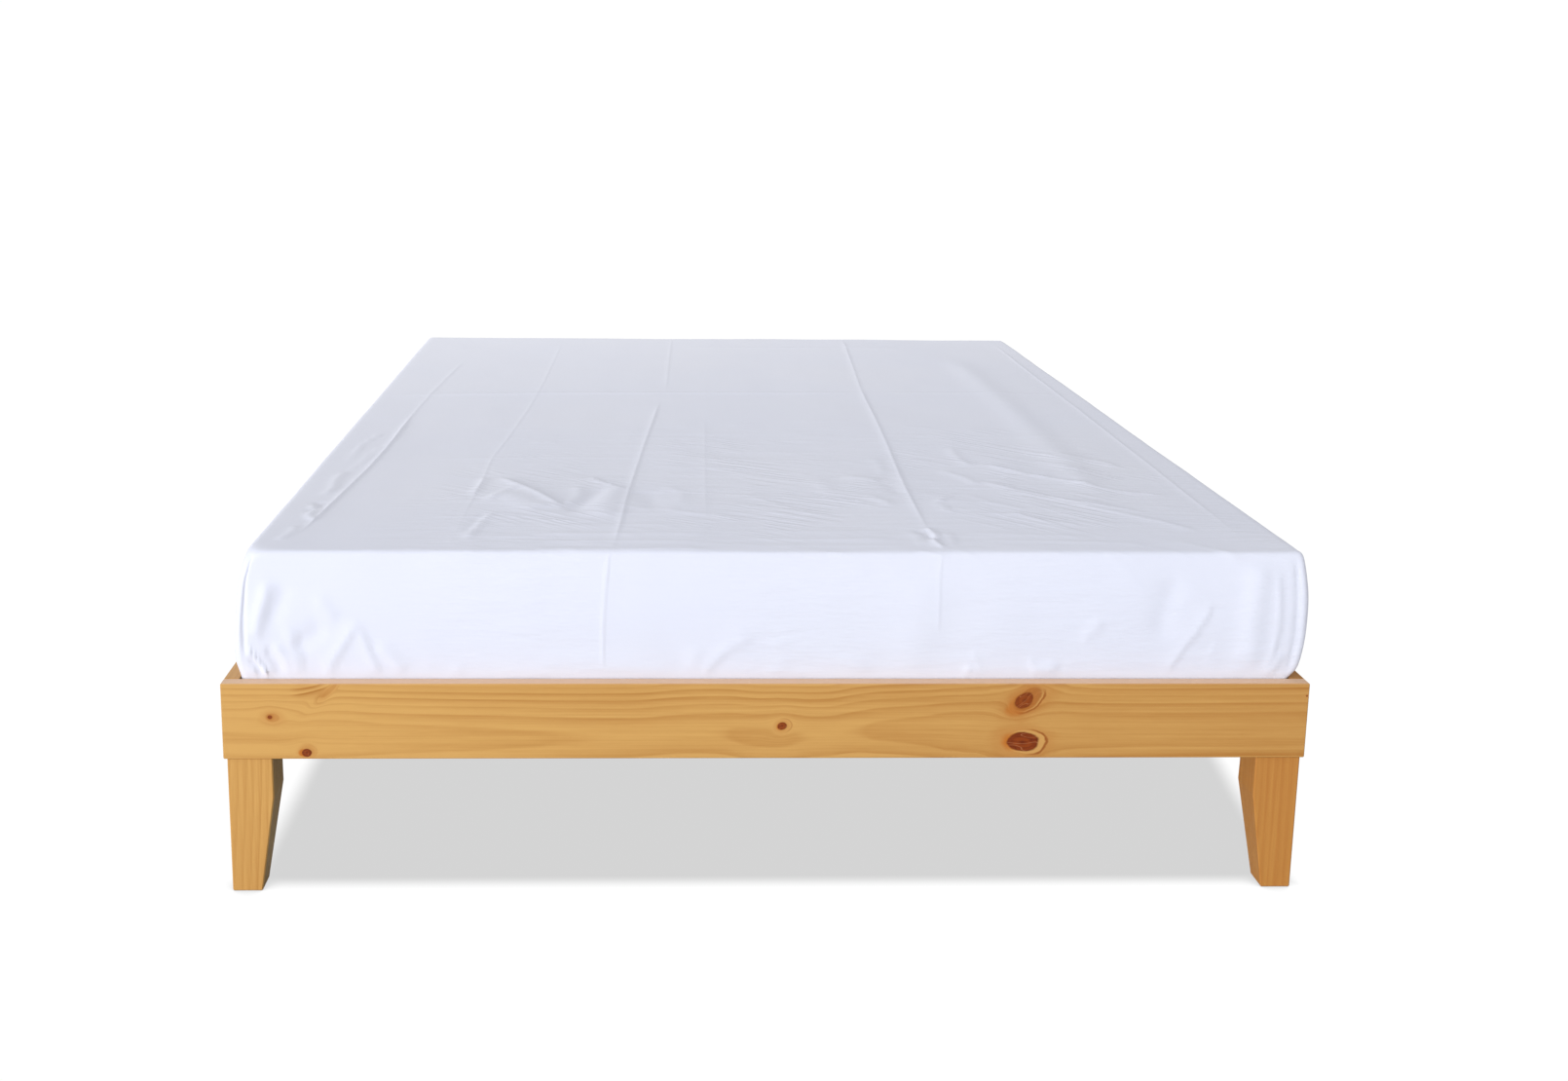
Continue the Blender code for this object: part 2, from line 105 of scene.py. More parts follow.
class Field:
    """A value that varies over a surface. Arithmetic on it adds nodes to its material."""

    def __init__(self, tree, socket):
        self.tree = tree
        self.socket = socket

    __add__, __sub__, __mul__, __truediv__, __pow__ = map(
        math_node, ("ADD", "SUBTRACT", "MULTIPLY", "DIVIDE", "POWER"))
    root, size, sine, floor, fraction, exponential = map(
        math_node, ("SQRT", "ABSOLUTE", "SINE", "FLOOR", "FRACT", "EXPONENT"))
    at_least, at_most = math_node("MAXIMUM"), math_node("MINIMUM")

    def between(self, low, high):
        """A smooth step, which is 0 at low and 1 at high. high may be the lower of the two."""
        start, end = (0, 1) if high > low else (1, 0)
        inputs = {"Value": self, "From Min": min(low, high), "From Max": max(low, high)}
        inputs.update({"To Min": start, "To Max": end})
        return added(self.tree, "MapRange", inputs, interpolation_type="SMOOTHSTEP")

    def curve(self, points):
        """Reads a smooth curve through points, whose places and heights are shares of 1."""
        made = added(self.tree, "FloatCurve", {"Value": self})
        mapping = made.socket.node.mapping
        line = mapping.curves[0]
        while len(line.points) < len(points):
            line.points.new(0, 0)
        for point, place in zip(line.points, points):
            point.location = place
        mapping.update()
        return made


def feed(slot, value):
    if isinstance(value, Field):
        value.tree.links.new(value.socket, slot)
    else:
        slot.default_value = value


def added(tree, kind, inputs, output=0, **settings):
    """The output of a new node, made with its settings and fed with its inputs."""
    node = tree.nodes.new("ShaderNode" + kind)
    for name, value in settings.items():
        setattr(node, name, value)
    for name, value in inputs.items():
        feed(node.inputs[name], value)
    return Field(tree, node.outputs[output])


def parts_of(vector):
    """A vector's three values."""
    node = vector.tree.nodes.new("ShaderNodeSeparateXYZ")
    feed(node.inputs[0], vector)
    return [Field(vector.tree, output) for output in node.outputs]


def coordinates(tree, kind="Object"):
    """The three coordinates of a point, or of the surface's normal, in the object's own space."""
    return parts_of(added(tree, "TexCoord", {}, kind))


def joined(x, y, z=0.0):
    """One vector from three values."""
    return added(x.tree, "CombineXYZ", {0: x, 1: y, 2: z})


# A noise: its scale on each axis, its detail and its roughness
Pattern = namedtuple("Pattern", "scales detail roughness", defaults=(2, 0.5))


def noise(place, pattern, seed=0.0):
    """Smooth noise round zero, from about -0.5 to 0.5."""
    tree = place.tree
    mapping = {"Scale": pattern.scales, "Location": (seed, seed, seed), "Vector": place}
    inputs = {"Scale": 1, "Detail": pattern.detail, "Roughness": pattern.roughness}
    inputs["Vector"] = added(tree, "Mapping", mapping)
    return added(tree, "TexNoise", inputs, "Fac") - 1 / 2


def chance(value):
    """A random number from 0 to 1 for each whole value."""
    return added(value.tree, "TexWhiteNoise", {"W": value}, "Value", noise_dimensions="1D")


def mixed(share, first, second):
    """A colour between first and second."""
    node = share.tree.nodes.new("ShaderNodeMix")
    node.data_type = "RGBA"
    feed(node.inputs["Factor"], share)
    slots = [slot for slot in node.inputs if slot.type == "RGBA"]
    for slot, colour in zip(slots, (first, second)):
        feed(slot, colour if isinstance(colour, Field) else (*colour, 1))
    return Field(share.tree, next(slot for slot in node.outputs if slot.type == "RGBA"))


def new_material(name):
    material = bpy.data.materials.new(name)
    material.use_nodes = True
    tree = material.node_tree
    shader = next(node for node in tree.nodes if node.type == "BSDF_PRINCIPLED")
    return material, tree, shader


def finish_shader(shader, colour, roughness, height, depth, **others):
    """Feeds a shader's inputs. Its bumps are depth metres high for each unit of height."""
    inputs = {name.replace("_", " "): value for name, value in others.items()}
    inputs["Base Color"] = colour
    inputs["Roughness"] = roughness
    inputs["Normal"] = added(height.tree, "Bump", {"Strength": 1, "Distance": depth, "Height": height})
    for name, value in inputs.items():
        feed(shader.inputs[name], value)


# Pine

# A knot: its middle along and across the board, its half-sizes, its tilt in degrees, the size of the
# ring round it and how far that ring leans along and across it, both in half-sizes, how dark the knot
# and the ring are, and how far an orange tail reaches along it, in half-sizes
Knot = namedtuple("Knot", "place radii tilt sleeve lean tone ring tail")
# A branch that the saw has met lengthwise: the grain beside it climbs by lift over the length reach
Branch = namedtuple("Branch", "place reach lift")
# What faces up takes on a rubbed colour, and on the foot rail's top a painted reflection
Wood = namedtuple("Wood", "pale dark knot rim halo worn wear")

KNOT_HEART = (0.270, 0.048, 0.004)
KNOT_RIM = (0.100, 0.010, 0.001)
KNOT_TAIL = (0.520, 0.150, 0.014)
KNOT_LINE = (0.330, 0.100, 0.018)
KNOT_CRACK = (0.560, 0.250, 0.110)
HONEY = Wood(
    pale=(0.678, 0.388, 0.120), dark=(0.430, 0.176, 0.034), knot=KNOT_HEART, rim=KNOT_RIM,
    halo=(0.440, 0.140, 0.020), worn=(0.76, 0.44, 0.20), wear=0.5,
)
# The foot rail's top face is much lighter: a painted reflection as well as a rubbed finish
HONEY_FOOT = HONEY._replace(pale=(0.660, 0.375, 0.115), worn=(0.87, 0.60, 0.42), wear=0.85)
AMBER = Wood(
    pale=(0.600, 0.300, 0.078), dark=(0.390, 0.140, 0.024), knot=KNOT_HEART, rim=KNOT_RIM,
    halo=(0.400, 0.120, 0.020), worn=(0.55, 0.27, 0.09), wear=0.5,
)
AMBER_LEG = AMBER._replace(pale=(0.570, 0.265, 0.062), dark=(0.400, 0.120, 0.020))
RAW = Wood(
    pale=(0.760, 0.570, 0.330), dark=(0.600, 0.370, 0.165), knot=(0.28, 0.12, 0.05), rim=(0.14, 0.05, 0.02),
    halo=(0.55, 0.30, 0.11), worn=(0.76, 0.57, 0.33), wear=0.0,
)
# Painted shade for a leg's face that looks along plus X, which stands in shade under the bed
INNER_PAINTED_SHADE = (0.150, 0.150, 0.060)

# The rings of the tree, as the saw has cut them
FIRST_RING = 60 * MM
RING_SWAY = 1.5 * MM
RING_STRENGTH_SHARES = (0.42, 0.5)
LATE_WOOD_POWER = 1.7
LATE_WOOD_END = (1.0, 0.82)
# How a board looks: the width of its rings, how strongly they show, how much it darkens along it, whether
# its halves are alike, and how far its face on the plus X side is darkened with painted shade
Look = namedtuple("Look", "ring lines drift mirrored inner", defaults=(6.75 * MM, 0.85, 0.0, False, 0.0))
LEG_LOOK = Look(ring=6.4 * MM, lines=0.45)

# Noises along, across and through a board
GRAIN = Pattern((30, 260, 260), 3, 0.6)
SWING = Pattern((40, 70, 70))
SWAY = Pattern((1.6, 7, 7))
FIBRES = Pattern((3.5, 420, 420), roughness=0.6)
STREAKS = Pattern((2.5, 90, 90), 3, 0.6)
BLOTCHES = Pattern((3, 8, 8))
FLECKS = Pattern((90, 900, 900), 1)
CRACKS = Pattern((0.7, 1.5, 1), 0)
WANDER = Pattern((1.3, 1, 1), 1)
SWING_SHARE = 0.5
CRACK_SEEDS_PER_METRE = 9
# How much each of them darkens the wood, and how dark it is without them
GRAIN_SHARE = 0.24
STREAK_SHARE = 0.45
FIBRE_SHARE = 0.55
BLOTCH_SHARE = 0.40
PLAIN_SHARE = 0.18
DARKEST_SHARE = 1.25
FLECK_EDGES = (0.26, 0.36)
FLECK_SHARE = 0.35
END_GRAIN_SHARE = 0.45
# How squarely a face has to look along an axis for end grain or painted shade, and for the rubbed colour with
# its painted sheen
FACING_EDGES = (0.6, 0.9)
WEAR_AND_SHEEN_EDGES = (0.6, 0.95)
PINE_ROUGHNESS = (0.44, 0.18, 0.06)
PINE_GLOSS = {"Specular_IOR_Level": 0.18, "Coat_Weight": 0.1, "Coat_Roughness": 0.16}
PINE_BUMP = 0.12 * MM
LATE_WOOD_BUMP_SHARE = 0.6

# A knot's parts, whose edges are in half-sizes of the knot
HALO_EDGES = (2.6, 1.0)
HALO_SHARES = (0.20, 0.3)
TAIL_SCALE = 0.95
TAIL_EDGES = (1.3, 0.7)
TAIL_SHARES = (0.30, 0.6)
KNOT_EDGES = (1.14, 0.92)
KNOT_TURNS = 11
KNOT_TURN_SWAY = 9
KNOT_TURN_SHARE = 0.4
RIM_AT = 0.5
RIM_EDGES = (0.3, 0.5)
RIM_SHARE = 0.6
PALE_CRACK_AT = 0.06
PALE_CRACK_EDGES = (0.022, 0.0)
PALE_CRACK_SHARE = 0.55
DARK_CRACK_AT = 0.09
DARK_CRACK_EDGES = (0.035, 0.0)
DARK_CRACK_SHARE = 0.6
SLEEVE_EDGES = (1.0, 0.93)
SLEEVE_SHARE = 0.6
SLEEVE_LINE_AT = 1.05
SLEEVE_LINE_EDGES = (0.13, 0.02)
SLEEVE_LINE_SIDE = (-0.2, 0.8)
SLEEVE_LINE_SHARE = 0.95
# Round a knot: how soon the grain lies straight again, and where and how far its lines fade
FLOW_FADE = -0.02
QUIET_FROM = 0.8
QUIET_TO = 1.5
QUIET_SHARES = (0.2, 0.8)

# Beside a branch, from its place: where the grain is highest, where it is back, and from how deep it climbs
BRANCH_PEAK = 4 * MM
BRANCH_BACK = 12 * MM
BRANCH_DEPTH = 22 * MM
# The darker wood round it: how far it is set back, its half-sizes, its edges in these, and its shares
BRANCH_SHADE_BACK = 20 * MM
BRANCH_SHADE_HALF = (24 * MM, 12 * MM)
BRANCH_SHADE_EDGES = (1.6, 0.0)
BRANCH_SHADE_SHARES = (0.25, 0.7)

# Along the foot rail, how deep the tree's middle lies behind the face, and how high it runs. Its knots'
# places and half-sizes are in mm.
FOOT_LOOK = Look(lines=0.75, drift=0.32)
FOOT_DEPTHS = (50 * MM, 62 * MM)
FOOT_DEPTH_SHARES = (
    (0, 0.17), (0.10, 0.27), (0.15, 0.45), (0.24, 0.60), (0.36, 0.833), (0.40, 0.87), (0.445, 0.833),
    (0.50, 0.67), (0.55, 0.82), (0.60, 0.65), (0.645, 0.46), (0.69, 0.25), (0.74, 0.25), (0.80, 0.33),
    (1, 0.34),
)
FOOT_HEIGHTS = (0.210, 0.240)
FOOT_HEIGHT_SHARES = (
    (0, 0.34), (0.36, 0.31), (0.445, 0.52), (0.50, 0.33), (0.55, 0.38), (0.60, 0.64), (0.70, 0.63), (1, 0.71),
)
FOOT_KNOTS_MM = (
    ((-658, 248.5), (8.6, 5.8), 0, 1.3, (0.0, 0.0), 0.12, 0.0, 0.0),
    ((-661.5, 249), (3.0, 2.6), 10, 2.0, (0.0, 0.0), 0.95, 0.0, 0.0),
    ((-614.6, 199.1), (6.2, 5.6), 0, 1.6, (0.4, 0.1), 1.0, 0.12, -0.75),
    ((-582, 286), (13.0, 3.0), 44, 1.6, (0.0, 0.0), 0.05, 0.0, 0.0),
    ((16.8, 236.2), (6.0, 5.2), 20, 1.9, (0.1, 0.0), 0.95, 0.4, -0.3),
    ((345, 273.5), (21.5, 12.2), 35, 1.10, (0.02, -0.12), 0.50, 1.0, -0.6),
    ((340.5, 272.2), (14.0, 9.2), 40, 1.2, (0.1, 0.0), 0.92, 0.0, 0.0),
    ((340.5, 212.9), (21.0, 13.0), -3, 1.36, (0.17, 0.0), 1.0, 1.0, -0.40),
    ((721.8, 278.1), (1.6, 1.4), 0, 1.6, (0.0, 0.0), 0.8, 0.0, 0.0),
)
FOOT_KNOTS = [
    Knot((x / MM_PER_METRE, z / MM_PER_METRE), (half_length * MM, half_width * MM), *rest)
    for (x, z), (half_length, half_width), *rest in FOOT_KNOTS_MM
]
FOOT_BRANCHES = (Branch((-0.588, 0.284), 60 * MM, 12 * MM),)

# How far the tree's middle wanders across and through any other board
WANDER_ACROSS = 50 * MM
WANDER_THROUGH = 30 * MM
WANDER_SEEDS = (1.7, 2.9)

# The slats, which share one material: where each one's tree is, from its own middle and its top
SLAT_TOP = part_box("slat_01")[1].z
SLAT_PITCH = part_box("slat_02")[0].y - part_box("slat_01")[0].y
SLAT_START = (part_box("slat_01")[0].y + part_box("slat_01")[1].y - SLAT_PITCH) / 2
SLAT_OFFSET = 60 * MM
SLAT_WAVE = 12 * MM
SLAT_WAVE_TURNS = (1, 3)
SLAT_WAVE_STARTS = 9
SLAT_DEPTHS = (8 * MM, 30 * MM)
SLAT_DEPTH_SEED = 0.2

# Each board's node, its axes along, across and through, its wood, its seed, how many knots it has and the
# largest, and the tree's middle, as a share across it and in metres behind it
BOARDS = (
    ("head_rail", "XZY", HONEY, 11, 4, 12 * MM, (0.4, 50 * MM)),
    ("side_rail_left", "YZX", HONEY, 23, 4, 11 * MM, (0.6, 40 * MM)),
    ("side_rail_right", "YZX", AMBER, 37, 4, 11 * MM, (0.35, 50 * MM)),
    ("centre_beam", "YZX", RAW, 41, 2, 6 * MM, (0.3, 40 * MM)),
)
# The same of the legs, which have no knots, and how far the inner face is darkened with painted shade
LEGS = (
    ("leg_foot_left", HONEY, 5, (-1.8, 100 * MM), 0.55),
    ("leg_foot_right", AMBER_LEG, 7, (2.2, 60 * MM), 0.0),
    ("leg_head_left", AMBER, 13, (2.0, 80 * MM), 0.0),
    ("leg_head_right", HONEY, 17, (-1.6, 80 * MM), 0.0),
    ("centre_leg", HONEY, 19, (1.8, 50 * MM), 0.0),
)
CLEAT_SEED = 51
CLEAT_KNOTS = (3, 5 * MM)
CLEAT_PITH_BEHIND = 50 * MM
BLOCK_SEED = 81
BLOCK_PITH_AWAY = (30 * MM, 20 * MM)
SLAT_SEED = 61
SLAT_KNOTS = (10, 8 * MM)
SEED_SPREAD = 3.1
# Random knots: their size and length as shares, their lean, tilt, sleeve and tone
KNOT_SIZES = (0.35, 1.0)
KNOT_STRETCH = (1.0, 1.5)
KNOT_LEANS = (-0.3, 0.3)
KNOT_LEAN_ACROSS = 0.1
KNOT_TILTS = (-20, 20)
KNOT_SLEEVES = (1.4, 1.9)
KNOT_TONES = (0.6, 1.0)
KNOT_RING = 0.6


def seen_from_knot(board, knot, lean=(0.0, 0.0), scale=1.0):
    """A place on the board as a knot's own coordinates, and its distance, where the knot's edge is at 1."""
    turn = math.radians(knot.tilt)
    aside, up = lean[0] * knot.radii[0], lean[1] * knot.radii[1]
    middle = (
        knot.place[0] + aside * math.cos(turn) - up * math.sin(turn),
        knot.place[1] + aside * math.sin(turn) + up * math.cos(turn),
        0,
    )
    inputs = {"Location": middle, "Rotation": (0, 0, turn), "Vector": board}
    inputs["Scale"] = (knot.radii[0] * scale, knot.radii[1] * scale, 1)
    own = added(board.tree, "Mapping", inputs, vector_type="TEXTURE")
    return own, added(board.tree, "VectorMath", {0: own}, "Value", operation="LENGTH")


def draw_ring(colour, board, knot, wood, swing):
    """The pale wood round a knot, and the dark line where it ends on the side it leans to."""
    own, outer = seen_from_knot(board, knot, knot.lean, knot.sleeve)
    outer = outer * swing
    colour = mixed(outer.between(*SLEEVE_EDGES) * (SLEEVE_SHARE * knot.ring), colour, wood.pale)
    along, across, _ = parts_of(own)
    side = (along * knot.lean[0] + across * knot.lean[1]) / math.hypot(*knot.lean)
    line = (outer - SLEEVE_LINE_AT).size().between(*SLEEVE_LINE_EDGES) * side.between(*SLEEVE_LINE_SIDE)
    return mixed(line * (SLEEVE_LINE_SHARE * knot.ring), colour, KNOT_LINE)


def draw_knot(colour, board, knot, own, distance, wood, grain, swing):
    """A knot's rings and dark rim, its cracks, the warm wood round it, its tail and its ring."""
    halo_share = HALO_SHARES[0] + HALO_SHARES[1] * knot.tone
    colour = mixed(distance.between(*HALO_EDGES) * halo_share, colour, wood.halo)
    if knot.ring:
        colour = draw_ring(colour, board, knot, wood, swing)
    if knot.tail:
        tail = seen_from_knot(board, knot, (knot.tail, 0.0), TAIL_SCALE)[1] * swing
        tail_share = TAIL_SHARES[0] + TAIL_SHARES[1] * knot.tone
        colour = mixed(tail.between(*TAIL_EDGES) * tail_share, colour, KNOT_TAIL)
    turns = (distance * KNOT_TURNS + grain * KNOT_TURN_SWAY).sine() * 0.5 + 0.5
    heart = mixed(turns * KNOT_TURN_SHARE, wood.knot, wood.rim)
    heart = mixed((distance - RIM_AT).size().between(*RIM_EDGES) * RIM_SHARE, heart, wood.rim)
    crack = noise(own, CRACKS, knot.place[0] * CRACK_SEEDS_PER_METRE)
    pale_crack = (crack - PALE_CRACK_AT).size().between(*PALE_CRACK_EDGES)
    dark_crack = (crack + DARK_CRACK_AT).size().between(*DARK_CRACK_EDGES)
    heart = mixed(pale_crack * PALE_CRACK_SHARE, heart, KNOT_CRACK)
    heart = mixed(dark_crack * DARK_CRACK_SHARE, heart, wood.rim)
    heart = mixed(distance * 0 + knot.tone, wood.halo, heart)
    return mixed(distance.between(*KNOT_EDGES) * math.sqrt(knot.tone), colour, heart)


def bent_round(along, across, knots, distances, branches):
    """The across coordinate as the grain sees it, which flows round knots and climbs beside branches."""
    bent = across
    for knot, distance in zip(knots, distances):
        reach = (distance / knot.sleeve).at_least(1)
        fade = (distance * distance * FLOW_FADE).exponential()
        bent = bent - (across - knot.place[1]) * fade / (reach * reach)
    for branch in branches:
        x, y = branch.place
        slant = along - (across - y)
        before = slant.between(x - branch.reach, x + BRANCH_PEAK)
        beyond = slant.between(x + BRANCH_BACK, x + BRANCH_PEAK)
        climb = before * before * beyond * across.between(y - BRANCH_DEPTH, y + BRANCH_PEAK)
        bent = bent - climb * branch.lift
    return bent


def late_wood(place, along, across, through, bent, pith, ring, seed):
    """How strongly the dark part of the tree's rings shows, where the saw has cut them."""
    height, depth = pith(along, across)
    x, y = bent - height, through - depth
    sway = noise(place, SWAY, seed) * RING_SWAY
    count = ((x * x + y * y).root() + sway - FIRST_RING) / ring
    part = count.fraction()
    weakest, spread = RING_STRENGTH_SHARES
    strength = chance(count.floor() + seed) * spread + weakest
    return part ** LATE_WOOD_POWER * part.between(*LATE_WOOD_END) * strength


def branch_shade(along, across, branch, late):
    """The darker wood round a branch."""
    x = (along - branch.place[0] + BRANCH_SHADE_BACK) / BRANCH_SHADE_HALF[0]
    y = (across - branch.place[1]) / BRANCH_SHADE_HALF[1]
    shade = (x ** 2 + y ** 2).between(*BRANCH_SHADE_EDGES)
    return shade * (late + BRANCH_SHADE_SHARES[0]) * BRANCH_SHADE_SHARES[1]


def faced(colour, tree, order, wood, inner):
    """Darkens end grain, gives what faces up a rubbed colour with a painted sheen, and gives what faces along
    X painted shade, as far as inner says.
    """
    facing = dict(zip("XYZ", coordinates(tree, "Normal")))
    ends = facing[order[0]].size().between(*FACING_EDGES)
    colour = mixed(ends * END_GRAIN_SHARE, colour, wood.dark)
    # Faces that look up take a rubbed colour, on the foot rail also a painted reflection
    if wood.wear:
        colour = mixed(facing["Z"].between(*WEAR_AND_SHEEN_EDGES) * wood.wear, colour, wood.worn)
    # Painted shade, on the face that looks along plus X
    if inner:
        colour = mixed(facing["X"].between(*FACING_EDGES) * inner, colour, INNER_PAINTED_SHADE)
    return colour


def make_pine(name, order, wood, pith, knots=(), seed=0.0, look=Look(), branches=()):
    """Sawn pine. order names the axes along, across and through the board.

    pith is a function of along and across that gives the height and the depth of the tree's middle.
    """
    material, tree, shader = new_material(name)
    axes = dict(zip("XYZ", coordinates(tree)))
    along, across, through = (axes[letter] for letter in order)
    if look.mirrored:
        across, through = across.size(), through.size()
    place = joined(along, across, through)
    board = joined(along, across)

    grain = noise(place, GRAIN, seed)
    swing = noise(place, SWING, seed) * SWING_SHARE + 1
    seen = [seen_from_knot(board, knot) for knot in knots]
    distances = [distance * swing for _, distance in seen]
    bent = bent_round(along, across, knots, distances, branches)
    late = late_wood(place, along, across, through, bent, pith, look.ring, seed)

    fibres = noise(joined(along, bent, through), FIBRES, seed) * FIBRE_SHARE
    streaks = noise(place, STREAKS, seed) * STREAK_SHARE
    blotches = noise(place, BLOTCHES, seed) * BLOTCH_SHARE
    share = late * look.lines + grain * GRAIN_SHARE + streaks + fibres + blotches + PLAIN_SHARE
    if look.drift:
        share = share + along * look.drift
    for knot, distance in zip(knots, distances):
        quiet = distance.between(knot.sleeve * QUIET_FROM, knot.sleeve * QUIET_TO)
        share = share * (quiet * QUIET_SHARES[1] + QUIET_SHARES[0])
    for branch in branches:
        share = share + branch_shade(along, across, branch, late)
    colour = mixed(share.at_least(0).at_most(DARKEST_SHARE), wood.pale, wood.dark)

    flecks = noise(place, FLECKS, seed).between(*FLECK_EDGES)
    colour = mixed(flecks * FLECK_SHARE, colour, wood.dark)
    for knot, (own, _), distance in zip(knots, seen, distances):
        colour = draw_knot(colour, board, knot, own, distance, wood, grain, swing)
    colour = faced(colour, tree, order, wood, look.inner)
    plain, of_grain, of_share = PINE_ROUGHNESS
    roughness = grain * of_grain + share * of_share + plain
    finish_shader(shader, colour, roughness, late * LATE_WOOD_BUMP_SHARE + grain, PINE_BUMP, **PINE_GLOSS)
    return material


def foot_pith(along, across):
    """Where the tree's middle runs along the foot rail."""
    low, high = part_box("foot_rail")
    share = (along - low.x) / (high.x - low.x)
    shallow, deep = FOOT_DEPTHS
    bottom, top_height = FOOT_HEIGHTS
    depth = share.curve(FOOT_DEPTH_SHARES) * (deep - shallow) + (shallow + FOOT_FACE)
    return share.curve(FOOT_HEIGHT_SHARES) * (top_height - bottom) + bottom, depth


def wandering_pith(middle, behind, seed):
    """The tree's middle wanders slowly from side to side along a board."""
    def pith(along, across):
        line = joined(along, along * 0)
        height = noise(line, WANDER, seed * WANDER_SEEDS[0]) * WANDER_ACROSS + middle
        return height, noise(line, WANDER, seed * WANDER_SEEDS[1]) * WANDER_THROUGH + behind
    return pith


def slat_pith(along, across):
    """Each slat is cut from another place in the tree."""
    number = ((across - SLAT_START) / SLAT_PITCH).floor()
    luck = chance(number + 0.5)
    middle = (number + 0.5) * SLAT_PITCH + SLAT_START
    fewest, more = SLAT_WAVE_TURNS
    wave = (along * (luck * more + fewest) + luck * SLAT_WAVE_STARTS).sine()
    nearest, spread = SLAT_DEPTHS
    height = middle + (luck - 0.5) * SLAT_OFFSET + wave * SLAT_WAVE
    return height, chance(number + SLAT_DEPTH_SEED) * spread + (SLAT_TOP + nearest)


def dress(node, material):
    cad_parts[node].data.materials[0] = material


def random_knots(seed, low, high, order, count, largest):
    """Knots at random places on a board's broad face."""
    rng = random.Random(seed)
    along, across = ("XYZ".index(letter) for letter in order[:2])
    knots = []
    for _ in range(count):
        radius = rng.uniform(*KNOT_SIZES) * largest
        place = (rng.uniform(low[along], high[along]), rng.uniform(low[across], high[across]))
        radii = (radius * rng.uniform(*KNOT_STRETCH), radius)
        lean = (rng.uniform(*KNOT_LEANS), KNOT_LEAN_ACROSS)
        tilt, sleeve, tone = rng.uniform(*KNOT_TILTS), rng.uniform(*KNOT_SLEEVES), rng.uniform(*KNOT_TONES)
        knots.append(Knot(place, radii, tilt, sleeve, lean, tone, KNOT_RING, -lean[0]))
    return knots


def dress_board(node, order, wood, seed, knots, largest, pith):
    """A board with its own grain."""
    low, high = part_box(node)
    made = random_knots(seed, low, high, order, knots, largest)
    across, through = ("XYZ".index(letter) for letter in order[1:])
    middle = low[across] + (high[across] - low[across]) * pith[0]
    line = wandering_pith(middle, high[through] + pith[1], seed)
    dress(node, make_pine(f"pine_{node}", order, wood, line, made, seed * SEED_SPREAD))


def dress_leg(node, wood, seed, pith, inner):
    """A leg, whose rings run down it as soft bands."""
    low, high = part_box(node)
    line = wandering_pith(low.x + (high.x - low.x) * pith[0], high.y + pith[1], seed)
    look = LEG_LOOK._replace(inner=inner)
    dress(node, make_pine(f"pine_{node}", "ZXY", wood, line, (), seed * SEED_SPREAD, look))


def names(start):
    return sorted(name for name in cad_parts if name.startswith(start))


def dress_wood():
    foot = ("XZY", HONEY_FOOT, foot_pith, FOOT_KNOTS, 0.0, FOOT_LOOK, FOOT_BRANCHES)
    dress("foot_rail", make_pine("pine_foot_rail", *foot))
    for row in BOARDS:
        dress_board(*row)
    for row in LEGS:
        dress_leg(*row)

    both_alike = Look(mirrored=True)
    low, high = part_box("side_cleat_right")
    knots = random_knots(CLEAT_SEED, low, high, "YZX", *CLEAT_KNOTS)
    line = wandering_pith(low.z, high.x + CLEAT_PITH_BEHIND, CLEAT_SEED)
    cleat = make_pine("pine_cleats", "YZX", RAW, line, knots, CLEAT_SEED, both_alike)
    low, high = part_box("corner_block_head_right")
    line = wandering_pith(low.x - BLOCK_PITH_AWAY[0], high.y + BLOCK_PITH_AWAY[1], BLOCK_SEED)
    block = make_pine("pine_blocks", "ZXY", RAW, line, (), BLOCK_SEED, both_alike)
    low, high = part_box("slat_01")
    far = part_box(names("slat_")[-1])[1]
    knots = random_knots(SLAT_SEED, low, far, "XYZ", *SLAT_KNOTS)
    slats = make_pine("pine_slats", "XYZ", RAW, slat_pith, knots, SLAT_SEED)
    for start, material in (("side_cleat_", cleat), ("corner_block_", block), ("slat_", slats)):
        for node in names(start):
            dress(node, material)


# Dowels and steel

BEECH_COLOURS = ((0.62, 0.44, 0.28), (0.50, 0.32, 0.18))
BEECH_FLECK = (0.36, 0.20, 0.10)
BEECH_FLECKS = Pattern((400, 400, 400))
BEECH_FLECK_EDGES = (0.1, 0.3)
BEECH_FLECK_SHARE = 0.5
BEECH_STREAKS = Pattern((60, 60, 400), 3)
BEECH_ROUGHNESS = (0.6, 0.1)
BEECH_BUMP = 0.1 * MM
ZINC_COLOURS = ((0.66, 0.67, 0.69), (0.50, 0.52, 0.56))
ZINC_CLOUDS = Pattern((90, 90, 90), 3)
ZINC_SCRATCHES = Pattern((300, 300, 2600))
ZINC_ROUGHNESS = (0.36, 0.3, 0.1)
ZINC_BUMP = 0.03 * MM


def beech_material():
    """Turned beech, flecked and a little streaked."""
    beech, tree, shader = new_material("turned_beech")
    place = joined(*coordinates(tree))
    flecks = noise(place, BEECH_FLECKS).between(*BEECH_FLECK_EDGES)
    streak = noise(place, BEECH_STREAKS)
    colour = mixed((streak + 0.5).at_least(0), *BEECH_COLOURS)
    colour = mixed(flecks * BEECH_FLECK_SHARE, colour, BEECH_FLECK)
    plain, of_streak = BEECH_ROUGHNESS
    finish_shader(shader, colour, streak * of_streak + plain, streak, BEECH_BUMP)
    return beech


